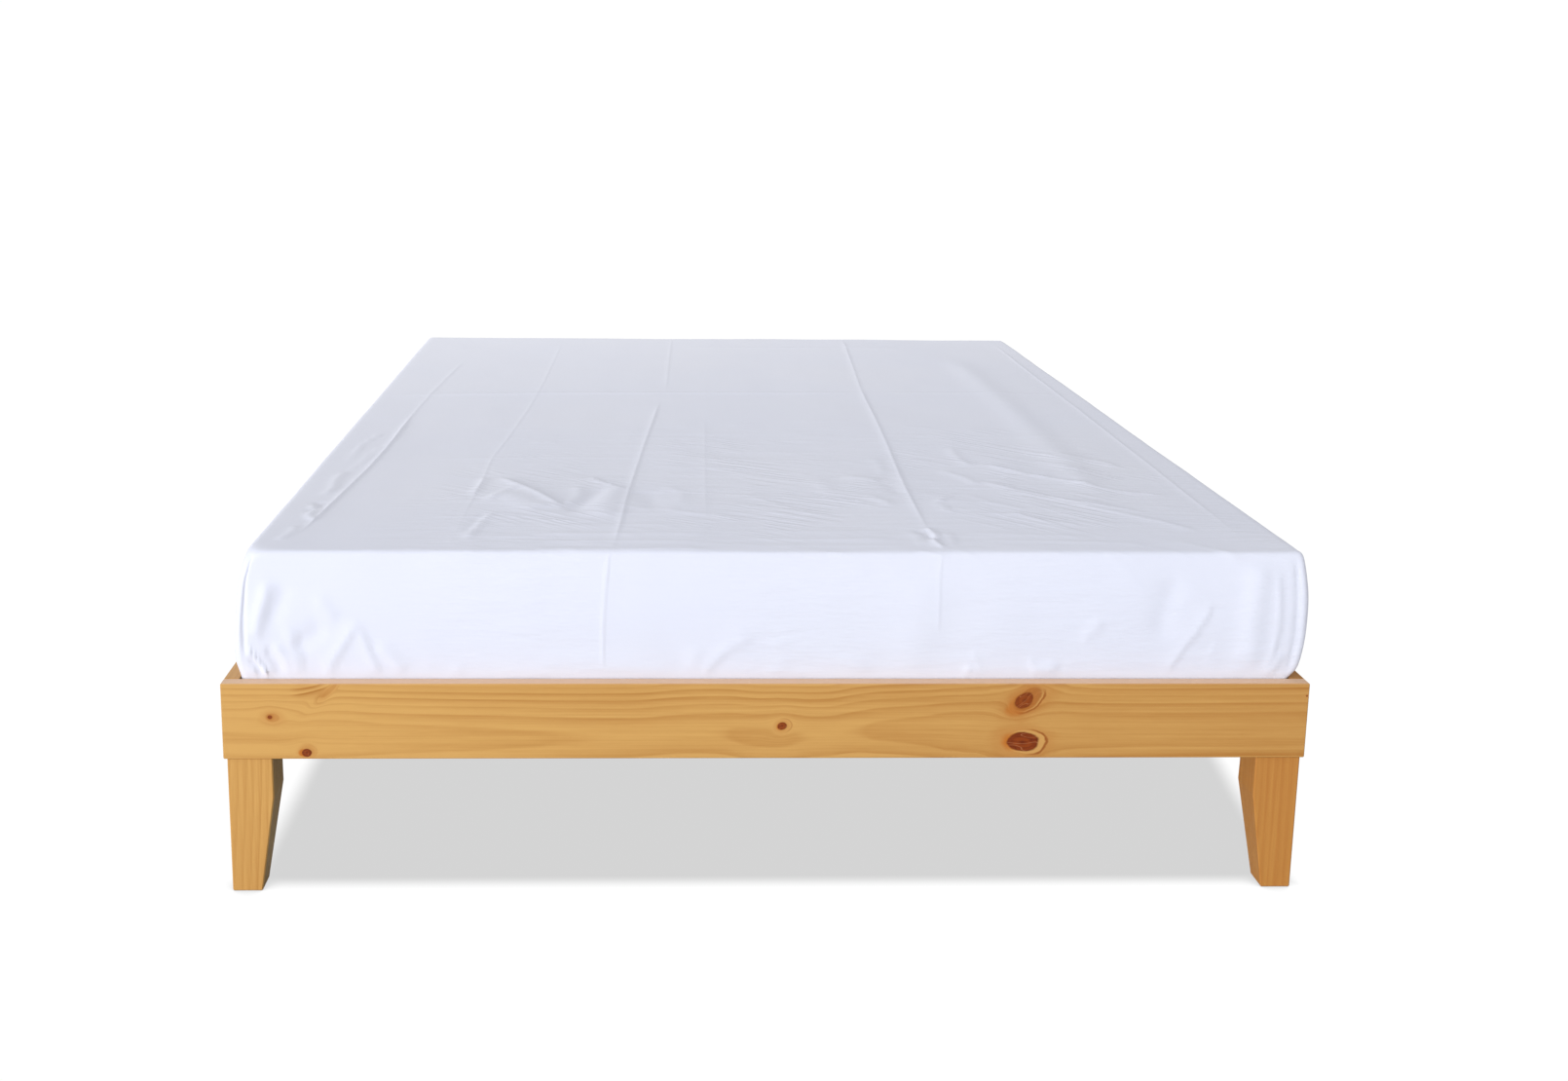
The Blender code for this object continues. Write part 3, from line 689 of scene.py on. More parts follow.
def steel_material():
    """Zinc-plated steel, clouded and finely scratched."""
    steel, tree, shader = new_material("zinc_plated_steel")
    place = joined(*coordinates(tree))
    cloud = noise(place, ZINC_CLOUDS)
    scratch = noise(place, ZINC_SCRATCHES)
    colour = mixed((cloud + 0.5).at_least(0), *ZINC_COLOURS)
    plain, of_cloud, of_scratch = ZINC_ROUGHNESS
    roughness = cloud * of_cloud + scratch * of_scratch + plain
    finish_shader(shader, colour, roughness, scratch + cloud, ZINC_BUMP, Metallic=1)
    return steel


def dress_hardware():
    """Beech for the dowels, and steel for the rest."""
    beech, steel = beech_material(), steel_material()
    for node in names("dowel_"):
        dress(node, beech)
    for start in ("leg_bolt_", "leg_washer_", "leg_nut_", "beam_hanger_", "centre_leg_bolt"):
        for node in names(start):
            dress(node, steel)
    return steel


# Screw heads

# Places across a head, as shares of its radius. The cross is sunk between its walls.
SCREW_LINES = (-1, -0.85, -0.66, -0.58, -0.18, -0.12, 0.12, 0.18, 0.58, 0.66, 0.85, 1)
CROSS_HALF_WIDTH_SHARE = 0.15
CROSS_REACH_SHARE = 0.6
CROSS_FLOOR_SHARE = 0.2
SCREW_ROUND_SHARE = 0.85
SCREW_SINK = 1.2 * MM
SCREW_TURN = 0.9
SLAT_SCREW = (4.2 * MM, 0.20 * MM)
CLEAT_SCREW = (4.2 * MM, 0.25 * MM)
HANGER_SCREW = (4.0 * MM, 1.8 * MM)
CLEAT_SCREWS = 6
HANGER_STEEL = 2 * MM
HANGER_EAR_HALF = 11 * MM
HANGER_SCREW_SHARES = (0.25, 0.75)


def cells_of(grid):
    """The four corners of each cell of a grid of numbers, anticlockwise."""
    return np.stack((grid[:-1, :-1], grid[1:, :-1], grid[1:, 1:], grid[:-1, 1:]), axis=-1).reshape(-1, 4)


def wall_between(upper, lower):
    """The faces between two closed rows of numbers."""
    return np.stack((upper, lower, np.roll(lower, -1), np.roll(upper, -1)), axis=-1).tolist()


def rim_of(grid):
    """The grid's outline in order, anticlockwise from the left corner at the foot."""
    return np.concatenate((grid[:-1, 0], grid[-1, :-1], grid[:0:-1, -1], grid[0, :0:-1]))


def screw_head(place, facing, size, turn):
    """The places and faces of a cross-headed screw's head. size is its radius and its height."""
    radius, height = size
    u, v = np.meshgrid(SCREW_LINES, SCREW_LINES, indexing="ij")
    x, y = u * np.sqrt(1 - v * v / 2), v * np.sqrt(1 - u * u / 2)
    wide, long = np.minimum(np.abs(u), np.abs(v)), np.maximum(np.abs(u), np.abs(v))
    cross = (wide < CROSS_HALF_WIDTH_SHARE) & (long < CROSS_REACH_SHARE)
    dome = np.sqrt(1 - (x * x + y * y) * SCREW_ROUND_SHARE)
    rise = height * np.where(cross, CROSS_FLOOR_SHARE, dome)
    head = np.stack((x * radius, y * radius, rise), axis=-1).reshape(-1, 3)
    numbers = np.arange(u.size).reshape(u.shape)
    rim = rim_of(numbers)
    sunk = head[rim] * (1, 1, 0) - (0, 0, SCREW_SINK)
    below = u.size + np.arange(len(rim))
    faces = cells_of(numbers).tolist() + wall_between(rim, below) + [below[::-1].tolist()]
    way = Vector(facing).to_track_quat("Z", "Y").to_matrix() @ Matrix.Rotation(turn, 3, "Z")
    return np.concatenate((head, sunk)) @ np.array(way).T + place, faces


def make_screws(name, spots, size, steel):
    """One piece of several heads. Each spot is a place and the way the head faces."""
    made, faces, count = [], [], 0
    for number, (place, facing) in enumerate(spots):
        points, own = screw_head(np.array(place), facing, size, number * SCREW_TURN)
        faces += [[corner + count for corner in face] for face in own]
        made.append(points)
        count += len(points)
    screws = mesh_object(name, np.concatenate(made), faces, steel)
    screws.data.shade_flat()
    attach(screws, "frame")


def add_screws(steel):
    """The screws that hold the slats to the cleats, the cleats to the rails and the hangers to the ends."""
    slats, cleats, hangers = [], [], []
    for node in names("side_cleat_"):
        low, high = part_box(node)
        middle = (low + high) / 2
        inward = -1 if middle.x > 0 else 1
        inner = low.x if middle.x > 0 else high.x
        for y in np.linspace(low.y, high.y, 2 * CLEAT_SCREWS + 1)[1::2]:
            cleats.append(((inner, y, middle.z), (inward, 0, 0)))
        for slat in names("slat_"):
            slat_low, slat_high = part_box(slat)
            slats.append(((middle.x, (slat_low.y + slat_high.y) / 2, slat_high.z), (0, 0, 1)))
    for node in names("beam_hanger_"):
        low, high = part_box(node)
        foot_end = low.y < 0
        face = low.y + HANGER_STEEL if foot_end else high.y - HANGER_STEEL
        for x in (low.x + HANGER_EAR_HALF, high.x - HANGER_EAR_HALF):
            for share in HANGER_SCREW_SHARES:
                z = low.z + (high.z - low.z) * share
                hangers.append(((x, face, z), (0, 1 if foot_end else -1, 0)))
    make_screws("slat_screws", slats, SLAT_SCREW, steel)
    make_screws("cleat_screws", cleats, CLEAT_SCREW, steel)
    make_screws("hanger_screws", hangers, HANGER_SCREW, steel)


# The bedding

HALF_WIDTH = 700 * MM
HALF_LENGTH = 950 * MM
# From the top's edge down and under: the height above the floor, and how far the cloth stands out from
# the mattress's nominal size on the left, on the right, and at the foot and the head
SHEET_SECTION_MM = (
    (469.0, -16, 5, -12),
    (468.7, -12, 8.5, -8.0),
    (467.6, -9.0, 11.6, -4.8),
    (464.5, -7.0, 13.8, -2.4),
    (458.0, -4.8, 15.8, -0.6),
    (446.0, -1.6, 17.8, 2.4),
    (432.0, 1.4, 19.8, 5.0),
    (416.0, 3.6, 21.7, 7.2),
    (396.0, 5.6, 22.6, 8.8),
    (374.0, 7.2, 22.7, 9.2),
    (354.0, 8.8, 22.2, 8.8),
    (336.0, 10.4, 20.6, 7.6),
    (322.0, 10.2, 18.8, 6.4),
    (311.0, 7.6, 16.4, 5.4),
    (302.5, 4.6, 12.2, 4.6),
    (296.0, 3.6, 4.6, 3.8),
    (283.0, 3.2, 3.4, 3.2),
    (272.0, 2.4, 2.4, 2.4),
    (268.1, -4.0, -4.0, -4.0),
    (268.1, -20, -20, -20),
    (268.1, -80, -80, -80),
    (268.1, -150, -150, -150),
)
RIGHT_TAPER = 11 * MM
# How many rings go down the sheet, and their steps
SHEET_RINGS_MM = ((8, 1.9), (28, 6.4), (4, 5), (4, 32))
SHEET_STEPS = [step * MM for count, step in SHEET_RINGS_MM for _ in range(count)]
FINE_RINGS = 36
FINE_CORNER = 9
CROWN = 6.5 * MM
CROWN_POWERS = (3, 5)
# How round the corners are in plan: the height, the radius at the left of the foot, and the others' radius
CORNERS_MM = ((268, 14, 14), (300, 9, 9), (370, 9, 9), (430, 10, 8), (455, 15, 7), (465, 26, 6), (470, 36, 5))
MATTRESS_INSET = 3.5 * MM
MATTRESS_UNDER = 268.9 * MM

# The top's grid: its steps at places across and along, and where lines lie close to a crease
COLUMN_STEPS_MM = (
    (-700, 4.7), (-640, 5.2), (-600, 9.5), (-470, 9.0), (-440, 5.0), (-120, 5.0), (-60, 10.0), (120, 10.0),
    (160, 6.4), (630, 6.4), (700, 5.0),
)
ROW_STEPS_MM = (
    (-950, 4.6), (-800, 4.6), (-750, 4.1), (-420, 4.1), (-350, 6.0), (-100, 8.0), (150, 14.0), (950, 20.0),
)
COLUMN_BUNCH_MM = (-5.5, -3.2, -1.2, 0.6, 2.4, 5.0)
ROW_BUNCH_MM = (-15, -10, -5, 0, 4, 8)
GUIDE_ROW = -600 * MM

# Lengthwise creases on the top, from the head to the foot: places (x, y) in mm
CREASE_FAR_LEFT = (
    (-535, 950), (-566, 620), (-592, 159), (-598, -35), (-601, -384), (-616, -590), (-626, -722),
    (-631, -800), (-643, -883), (-650, -950),
)
CREASE_LEFT = (
    (-366, 950), (-377, 196), (-406, -292), (-418, -406), (-417, -570), (-424, -755), (-428, -907),
    (-430, -950),
)
CREASE_MIDDLE = ((-106, 950), (-110, 830), (-128, 193), (-146, 19), (-192, -623), (-210, -948))
CREASE_FAINT = ((0, 950), (-59, -73), (-72, -471), (-82, -817), (-86, -950))
CREASE_RIGHT = ((310, 950), (306, 876), (264, 203), (251, -181), (229, -593), (225, -824), (229, -950))
RIDGE_RIGHT = ((540, 950), (525, 692), (532, 35), (519, -530), (509, -716), (500, -950))
CREASE_FAR_RIGHT = ((678, 950), (668, 370), (668, 90), (662, -420), (656, -760), (655, -920), (654, -950))
# Creases across the top, from the left to the right
CROSS_LINES = (
    ((-700, 168), (-614, 169), (-97, 175), (647, 203), (700, 205)),
    ((-700, 771), (-40, 773), (370, 788), (700, 792)),
)


def in_metres(places_mm):
    return tuple((x / MM_PER_METRE, y / MM_PER_METRE) for x, y in places_mm)


COLUMN_GUIDES = [in_metres(line) for line in (
    CREASE_FAR_LEFT, CREASE_LEFT, CREASE_MIDDLE, CREASE_FAINT, CREASE_RIGHT, CREASE_FAR_RIGHT,
)]
CROSS_GUIDES = [in_metres(line) for line in CROSS_LINES]
NEAR_SHARE = 0.75
FAR_SHARE = 0.25


def arc_lengths(points):
    steps = [math.dist(first, second) for first, second in zip(points, points[1:])]
    return np.concatenate(([0], np.cumsum(steps)))


def smoothed(points):
    """Cuts the corners of a line twice over, so that it curves."""
    line = np.array(points, float)
    for _ in range(2):
        near = line[:-1] * NEAR_SHARE + line[1:] * FAR_SHARE
        far = line[:-1] * FAR_SHARE + line[1:] * NEAR_SHARE
        middle = np.stack((near, far), axis=1).reshape(-1, line.shape[1])
        line = np.concatenate((line[:1], middle[1:-1], line[-1:]))
    return line


def evenly(section, steps):
    """A section's reach at each ring, and its rows there."""
    line = smoothed(section)
    reach = arc_lengths([(row[0], row[1:].mean()) for row in line])
    marks = np.concatenate(([0], np.cumsum(steps)))
    marks *= reach[-1] / marks[-1]
    return marks, np.column_stack([np.interp(marks, reach, column) for column in line.T])


SHEET_REACH, SHEET_SECTION = evenly(np.array(SHEET_SECTION_MM) * MM, SHEET_STEPS)
TOP_HALF_WIDTH = HALF_WIDTH + (SHEET_SECTION[0][1] + SHEET_SECTION[0][2]) / 2
TOP_HALF_LENGTH = HALF_LENGTH + SHEET_SECTION[0][3]
TOP_SHIFT = (SHEET_SECTION[0][2] - SHEET_SECTION[0][1]) / 2


def down_front(x, z):
    """The cloth's own coordinates of a place on the foot face, whose height is z."""
    return x, -TOP_HALF_LENGTH - float(np.interp(z, SHEET_SECTION[::-1, 0], SHEET_REACH[::-1]))


Stroke = namedtuple("Stroke", "height width kind points")


def top(height_mm, width_mm, kind, *places_mm):
    return Stroke(height_mm * MM, width_mm * MM, kind, in_metres(places_mm))


def front(height_mm, width_mm, kind, *places_mm):
    """A stroke on the foot face, from its places (x, z) there."""
    places_xz = in_metres(places_mm)
    return Stroke(height_mm * MM, width_mm * MM, kind, tuple(down_front(x, z) for x, z in places_xz))


# Strokes: how high and how wide each is in mm, its kind, and its places in mm. On the top these are x and y.
TOP_STROKES = (
    (0.8, 6, "crease", *CREASE_FAR_LEFT[1:5]),
    (2.0, 6, "crease", *CREASE_FAR_LEFT[3:-1]),
    (1.6, 6, "crease", (-627, -180), (-631, -212), (-647, -293), (-650, -430)),
    (1.3, 6, "crease", (-612, -300), (-624, -420), (-633, -500)),
    (1.8, 7, "ridge", (-640, -490), (-646, -551), (-638, -610), (-648, -652)),
    (2.2, 6, "ridge", (-652, -700), (-640, -735), (-645, -767), (-630, -800)),
    (-1.8, 6, "ridge", (-648, -680), (-636, -715), (-650, -750)),
    (1.2, 7, "ridge", (-655, -820), (-646, -850), (-660, -900)),
    (0.44, 5, "crease", *CREASE_LEFT),
    (0.44, 6, "crease", *CREASE_MIDDLE[:3]),
    (1.2, 6.5, "crease", (-138, 110), (-146, 19), (-192, -623), (-200, -800), (-212, -965)),
    (0.35, 7, "crease", (-59, -73), (-72, -471), (-82, -817)),
    (1, 6.5, "crease", *CREASE_RIGHT[:3]),
    (1.4, 6.5, "crease", (272, 330), (264, 200), (251, -181), (229, -593), (225, -820), (228, -900)),
    (3.0, 30, "ridge", *RIDGE_RIGHT[1:-1]),
    (0.88, 6, "crease", *CREASE_FAR_RIGHT[:-1]),
    (2.0, 13, "crease", (-700, 165), (-480, 167), (-212, 174), (20, 180), (300, 190)),
    (0.9, 13, "crease", (280, 190), (647, 203), (700, 205)),
    (1.2, 13, "crease", (-90, 772), (-40, 773), (370, 788), (450, 789)),
    (0.8, 8, "crease", (-560, -412), (-267, -407), (-200, -408), (50, -424), (240, -442)),
    (0.7, 7, "crease", (-171, -623), (-26, -658), (146, -686), (210, -690)),
    (0.6, 7, "crease", (-470, -775), (-380, -780), (-290, -782)),
    # Long ripples just behind the foot edge
    (0.9, 7, "ridge", (-330, -870), (-197, -868), (-64, -867)),
    (0.8, 6, "ridge", (-320, -904), (-200, -902), (-65, -902)),
    (0.7, 6, "ridge", (-299, -938), (-180, -936), (-67, -936)),
    (0.8, 7, "ridge", (-306, -828), (-200, -824), (-116, -826)),
    (0.8, 6, "ridge", (-50, -885), (60, -890), (180, -886)),
    (0.7, 6, "ridge", (-40, -920), (90, -918), (200, -922)),
    (0.8, 6, "ridge", (20, -850), (100, -856), (170, -848)),
    (0.7, 6, "ridge", (290, -900), (400, -898), (520, -908)),
    (0.7, 6, "ridge", (270, -860), (360, -868), (450, -874)),
    # Wrinkles near the foot, left of the middle
    (4.5, 11, "roll", (-395, -545), (-378, -569), (-340, -625), (-315, -668), (-284, -732)),
    (2.7, 26, "ridge", (-385, -640), (-350, -690), (-315, -745)),
    (2.5, 7, "roll", (-255, -542), (-228, -586), (-196, -628)),
    (-3, 15, "ridge", (-228, -605), (-249, -679), (-275, -760)),
    (1.5, 10, "ridge", (-275, -600), (-262, -660), (-285, -720)),
    (1.8, 8, "ridge", (-402, -700), (-376, -626), (-355, -598)),
    (1.8, 7, "ridge", (-425, -662), (-417, -600), (-416, -545)),
    (1.8, 7, "ridge", (-408, -900), (-395, -783), (-380, -750)),
    (-1.4, 7, "ridge", (-412, -860), (-402, -800), (-392, -755)),
    (2.7, 24, "ridge", (-214, -600), (-222, -700), (-226, -800)),
    (-1.5, 18, "ridge", (-165, -630), (-158, -700), (-150, -740)),
    (0.8, 9, "ridge", (-135, -600), (-110, -655), (-118, -715)),
    (1.1, 8, "ridge", (-148, -740), (-100, -765), (-20, -790)),
    (1.5, 8, "roll", (-22, -655), (-6, -690), (12, -660)),
    (1.5, 7, "roll", (2, -685), (35, -725), (75, -765)),
    # Puckers that run towards the right-hand corner
    (3.4, 9, "roll", (385, -440), (402, -470), (440, -515), (490, -555), (535, -590)),
    (2, 8, "roll", (500, -555), (535, -600), (590, -630), (625, -640)),
    (3, 10, "roll", (345, -545), (375, -590), (425, -650), (500, -700), (570, -750)),
    (2, 9, "roll", (465, -690), (510, -734), (570, -790), (610, -850)),
    (2.4, 9, "ridge", (513, -360), (547, -389), (605, -446)),
    (1.5, 9, "ridge", (460, -345), (520, -390), (560, -430)),
    (1.5, 8, "ridge", (349, -317), (345, -400), (358, -471)),
    (1.8, 8, "ridge", (300, -490), (330, -530), (345, -590)),
    (0.7, 9, "ridge", (310, -640), (345, -700), (390, -745)),
    (1.8, 8, "roll", (355, -750), (400, -790), (450, -820)),
    (1.8, 9, "roll", (290, -660), (262, -700), (278, -760)),
    # Beside the right-hand crease
    (1, 7, "ridge", (206, -395), (208, -487), (209, -599)),
    (-1.4, 9, "ridge", (214, -500), (206, -580), (214, -660)),
    (1.7, 8, "ridge", (166, -660), (185, -692), (192, -720)),
    (2, 11, "ridge", (142, -535), (172, -556), (196, -570)),
    (1.3, 8, "ridge", (100, -535), (104, -600), (116, -650)),
    (1, 8, "roll", (116, -650), (150, -710), (200, -740)),
    (2.5, 5, "ridge", (223, -830), (234, -870), (222, -900), (236, -935)),
    (-2, 4, "ridge", (214, -845), (224, -885), (240, -900)),
    (1.4, 5, "ridge", (196, -845), (210, -882), (206, -918)),
    (1.4, 5, "ridge", (244, -850), (252, -885), (244, -925)),
)
# On the foot face they are x and the height above the floor
FRONT_STROKES = (
    (0.9, 5, "crease", (-213, 470), (-217, 440), (-222, 380), (-222, 304)),
    (0.5, 7, "crease", (229, 470), (224, 440), (224, 400), (224, 355)),
    (1.6, 30, "ridge", (206, 440), (204, 380), (196, 330), (190, 302)),
    (-2.2, 3.2, "ridge", (-690, 468), (-692, 454), (-694, 401), (-696, 348), (-694, 320)),
    (-2.4, 3.0, "ridge", (703, 466), (705.5, 430), (707, 376), (706.5, 348), (701, 300)),
    (3.2, 9, "ridge", (-660, 430), (-668, 405), (-676, 378), (-680, 350)),
    (-1.8, 9, "ridge", (-636, 425), (-650, 395), (-660, 368)),
    (3.6, 9, "roll", (-545, 378), (-551, 364), (-566, 340), (-590, 300)),
    (3.0, 10, "roll", (-546, 374), (-536, 350), (-528, 325), (-516, 300)),
    (2.2, 9, "ridge", (-520, 345), (-500, 325), (-486, 302)),
    (3.4, 10, "roll", (-634, 372), (-628, 340), (-620, 300)),
    (-2.6, 10, "ridge", (-632, 335), (-612, 352), (-588, 368)),
    (1.8, 8, "ridge", (-600, 410), (-586, 392), (-572, 380)),
    (2.8, 11, "roll", (-20, 356), (-32, 350), (-60, 335), (-90, 300)),
    (2.4, 12, "roll", (594, 405), (580, 374), (556, 340), (534, 302)),
    (-2.2, 16, "ridge", (545, 440), (528, 400), (522, 350)),
    (3.6, 18, "ridge", (656, 462), (652, 420), (647, 379), (648, 304)),
    (2.6, 9, "roll", (680, 450), (683, 400), (683, 360), (677, 324), (664, 300)),
    (2.4, 6, "ridge", (690, 335), (684, 318), (672, 302)),
    (1.5, 13, "ridge", (-310, 326), (-221, 319), (-118, 305)),
    (1.5, 12, "ridge", (-10, 348), (60, 335), (141, 311)),
    (1.6, 8, "ridge", (445, 378), (430, 362), (416, 352)),
    (2.4, 8, "roll", (345, 322), (368, 313), (392, 316)),
    (2.0, 7, "ridge", (352, 304), (362, 309), (378, 303)),
    (3.6, 4.5, "roll", (-695, 342), (-685.5, 331), (-673, 315), (-664, 300)),
    (-3.0, 4, "ridge", (-690, 325), (-680, 312), (-672, 303)),
    (3.4, 4.5, "roll", (-694, 314), (-684, 306), (-670, 305), (-656, 313)),
    (-2.8, 5, "ridge", (-668, 338), (-656, 322), (-648, 302)),
    (3.2, 6, "roll", (-655, 345), (-642, 331), (-634, 315)),
)
STROKES = [top(*row) for row in TOP_STROKES] + [front(*row) for row in FRONT_STROKES]

# Across a stroke, in its widths: how far a crease or a roll reaches on the left and on the right
CREASE_SIDES = (0.6, 1.2)
CREASE_POWER = 1.2
ROLL_SIDES = (0.45, 0.8)
ROLL_POWER = 1.3
STROKE_MARGIN_WIDTHS = 4
STROKE_ENDS = 6
RANDOM_BEND = 0.3
RANDOM_PARTS = 3

# How far down the sheet's sides the puckers are spread, and their seed
SHEET_DROP = 215 * MM
PUCKER_SEED = 4
# Random puckers: how many, how far they lean from their heading in degrees, and their sizes in mm
Puckers = namedtuple("Puckers", "count lean lengths heights widths")
TOP_PUCKERS = Puckers(150, 12, (30, 120), (0.2, 0.7), (5, 9))
SIDE_PUCKERS = Puckers(150, 55, (40, 100), (0.6, 2.2), (8, 15))
# On the top: where they lie across it, from where and how far they reach along it and how they crowd near
# the foot, and how many degrees they slant towards the right, from where and over how far
TOP_PUCKER_ENDS = (-0.55, 0.60)
TOP_PUCKER_FOOT = -0.94
TOP_PUCKER_REACH = 0.85
TOP_PUCKER_CROWDING = 1.5
TOP_PUCKER_SLANT = 38
TOP_PUCKER_SLANT_FROM = 0.2
TOP_PUCKER_SLANT_OVER = 0.25
# On the sides: how far down they start, where along each side, and what is other at the head and the foot
SIDE_PUCKER_SHARES = (0.45, 0.55)
ALONG_SIDE = (-0.9, 0.9)
ALONG_HEAD = (-0.66, 0.66)
ALONG_FOOT = (-0.6, 0.6)
HEAD_HEIGHT_SHARE = 1.6
FOOT_PUCKER_SHARES = (0.6, 0.4)
FOOT_LENGTH_SHARE = 0.6
FOOT_HEIGHT_SHARE = 0.7
# Smooth waves over the cloth: their scales across and along, their seed, and their height
RIPPLES = (7, 62, 3.3)
RIPPLE = 0.7 * MM
RIPPLE_ELSEWHERE = 0.1
RIPPLE_PATCH_GAIN = 2
RIPPLE_PATCH_SHIFT = 0.6
RIPPLE_PATCHES = (4, 6, 8.1)
RIPPLE_ACROSS = (-0.35, 0.66, 0.15)
RIPPLE_ALONG = (-0.95, -0.10, 0.12)
SWELL = 1.1 * MM
SWELLS = (5, 4, 7.7)
FOOT_SWELLS = (11, 3.5, 2.9)
FOOT_SWELL_SHARE = 0.6
SMALL_SWELLS = (16, 13, 5.1)
SMALL_SWELL_SHARE = 0.35
DEEPEST_DENT = -2.5 * MM
# The creases end this far above the rail, and grow to their full height over this much more
FLAT_ABOVE_RAIL = 1 * MM
RAISED_OVER = 7 * MM
# A row's ends move out or in over this zone, or over this many times the move if that is longer
SPREAD_ZONE = 100 * MM
SPREAD_TIMES = 1.8
TAPER_FROM = 290 * MM
TAPER_OVER = 60 * MM
TAPER_POWER = 3
# The hem across its width: how far out from the sheet's edge, and how far below the sheet
HEM_SECTION_MM = ((-12, 0.3), (-11.5, 0.5), (-2, 0.4), (7, 0.5), (7.5, 0.3))

COTTON_COOL = (0.765, 0.795, 0.930)
COTTON_WARM = (0.800, 0.820, 0.925)
THREADS = 9000
WARP_LEAN = 0.3
SLUBS = (Pattern((12, 900, 900), 1), Pattern((900, 12, 900), 1))
COTTON_CLOUDS = Pattern((3, 3, 3))
COTTON_SHADE_SHARES = (0.5, 0.9)
CRIMPS = Pattern((12, 85, 60), 3, 0.6)
CRIMP_PATCHES = Pattern((4, 5, 5))
CRIMP_PATCH_EDGES = (-0.16, 0.12)
CRIMP_PATCH_SHARES = (0.15, 0.85)
CRIMP_FROM = 150 * MM
CRIMP_OVER = -550 * MM
CRIMP_FOOT_SHARES = (0.2, 0.8)
CRIMP_LEFT_EDGE = 500 * MM
CRIMP_LEFT_EDGES = (-0.12, 0.12)
# Fine creases: their seed and share, how far they slant to the foot, and their part's middle and half-size
FINE_CREASES = (
    (1.7, 1.0, 0.95, (0.43, -0.52), (0.26, 0.42)),
    (4.2, 1.0, 0.55, (0.02, -0.55), (0.24, 0.42)),
    (7.9, 0.6, 0.8, (-0.33, -0.62), (0.18, 0.30)),
)
CREASES_PER_METRE = 55
CREASE_LENGTH_SHARE = 0.07
CREASE_EDGES = (0.11, 0.0)
CREASE_PART_EDGES = (1.0, 0.3)
CREASE_PATCHES = Pattern((9, 8, 1))
CREASE_PATCH_EDGES = (-0.10, 0.10)
CREASE_PATCH_SEED = 3
CREASES_ABOVE = 440 * MM
CREASES_OVER = 20 * MM
COTTON_SHEEN = {"Sheen_Weight": 0.15, "Sheen_Roughness": 0.5}
COTTON_ROUGHNESS = (0.88, 0.1)
COTTON_BUMP = 0.45 * MM
# How much the weave, the slubs, the crimp and the fine creases raise the cotton
COTTON_BUMP_SHARES = (0.02, 0.06, 5.0, 1.8)

MATTRESS_GRID = 22 * MM
MATTRESS_FLOOR_IN = -60 * MM
# The mattress's lower edge: its height above the underside, and how far it stands out
MATTRESS_FOOT_MM = ((3, -1.5), (1.2, -3), (0.3, -6), (0, -10), (0, -20), (0, -40))
# How many of the mattress's rings lie lower than the sheet's by its inset, from the top's edge
LOWERED_RINGS = 5
QUILT_PITCH = 110 * MM
QUILT_POWER = 0.45
STRIPE_PITCH = 26 * MM
STRIPE_EDGES = (0.55, 0.75)
TICKING_THREADS = 4500
TICKING_FUZZ = Pattern((60, 60, 60), 3)
TICKING_SHADE_SHARE = 1.2
STRIPE_SHARE = 0.5
TICKING_PALE = (0.70, 0.69, 0.64)
TICKING_SHADE = (0.58, 0.57, 0.53)
TICKING_STRIPE = (0.36, 0.42, 0.50)
TICKING_ROUGHNESS = (0.85, 0.1)
TICKING_BUMP = 1.4 * MM
# How much the quilting, the weave and the fuzz raise the ticking
TICKING_BUMP_SHARES = (2.4, 0.03, 0.15)


def beside_line(places_xy, line):
    """For each place its distance from a line, positive on the line's left, and its share along it."""
    reach = arc_lengths(line)
    nearest = np.full(len(places_xy), np.inf)
    side = np.zeros(len(places_xy))
    along = np.zeros(len(places_xy))
    for number, (start, end) in enumerate(zip(line, line[1:])):
        step = end - start
        length = np.linalg.norm(step)
        offset = places_xy - start
        share = np.clip(offset @ step / length ** 2, 0, 1)
        gap = offset - share[:, None] * step
        distance = np.linalg.norm(gap, axis=1)
        closer = distance < nearest
        turn = step[0] * offset[:, 1] - step[1] * offset[:, 0]
        nearest[closer] = distance[closer]
        side[closer] = np.sign(turn[closer]) * distance[closer]
        along[closer] = (reach[number] + share[closer] * length) / reach[-1]
    return side, along


def stroke_shape(kind, offset):
    """The height across a stroke, where offset is in widths and positive on the left."""
    if kind == "crease":
        left, right = CREASE_SIDES
        return np.maximum(1 - np.where(offset > 0, offset / left, -offset / right), 0) ** CREASE_POWER
    if kind == "roll":
        left, right = ROLL_SIDES
        return np.where(offset > 0, np.maximum(1 - offset / left, 0) ** ROLL_POWER, np.exp(offset / right))
    return np.exp(-offset ** 2)


def raised_by(stroke, cloth):
    """How far a stroke raises each point of the cloth."""
    line = smoothed(stroke.points)
    margin = stroke.width * STROKE_MARGIN_WIDTHS
    inside = np.all((cloth > line.min(axis=0) - margin) & (cloth < line.max(axis=0) + margin), axis=1)
    raised = np.zeros(len(cloth))
    if inside.any():
        side, along = beside_line(cloth[inside], line)
        ends = np.clip(np.minimum(along, 1 - along) * STROKE_ENDS, 0, 1)
        taper = ends * ends * (3 - 2 * ends)
        raised[inside] = stroke.height * taper * stroke_shape(stroke.kind, side / stroke.width)
    return raised


def waves(cloth, pattern):
    """Smooth noise over the cloth, from about -1 to 1."""
    scale_x, scale_y, seed = pattern
    return np.array([point_noise((x * scale_x, y * scale_y, seed)) for x, y in cloth])


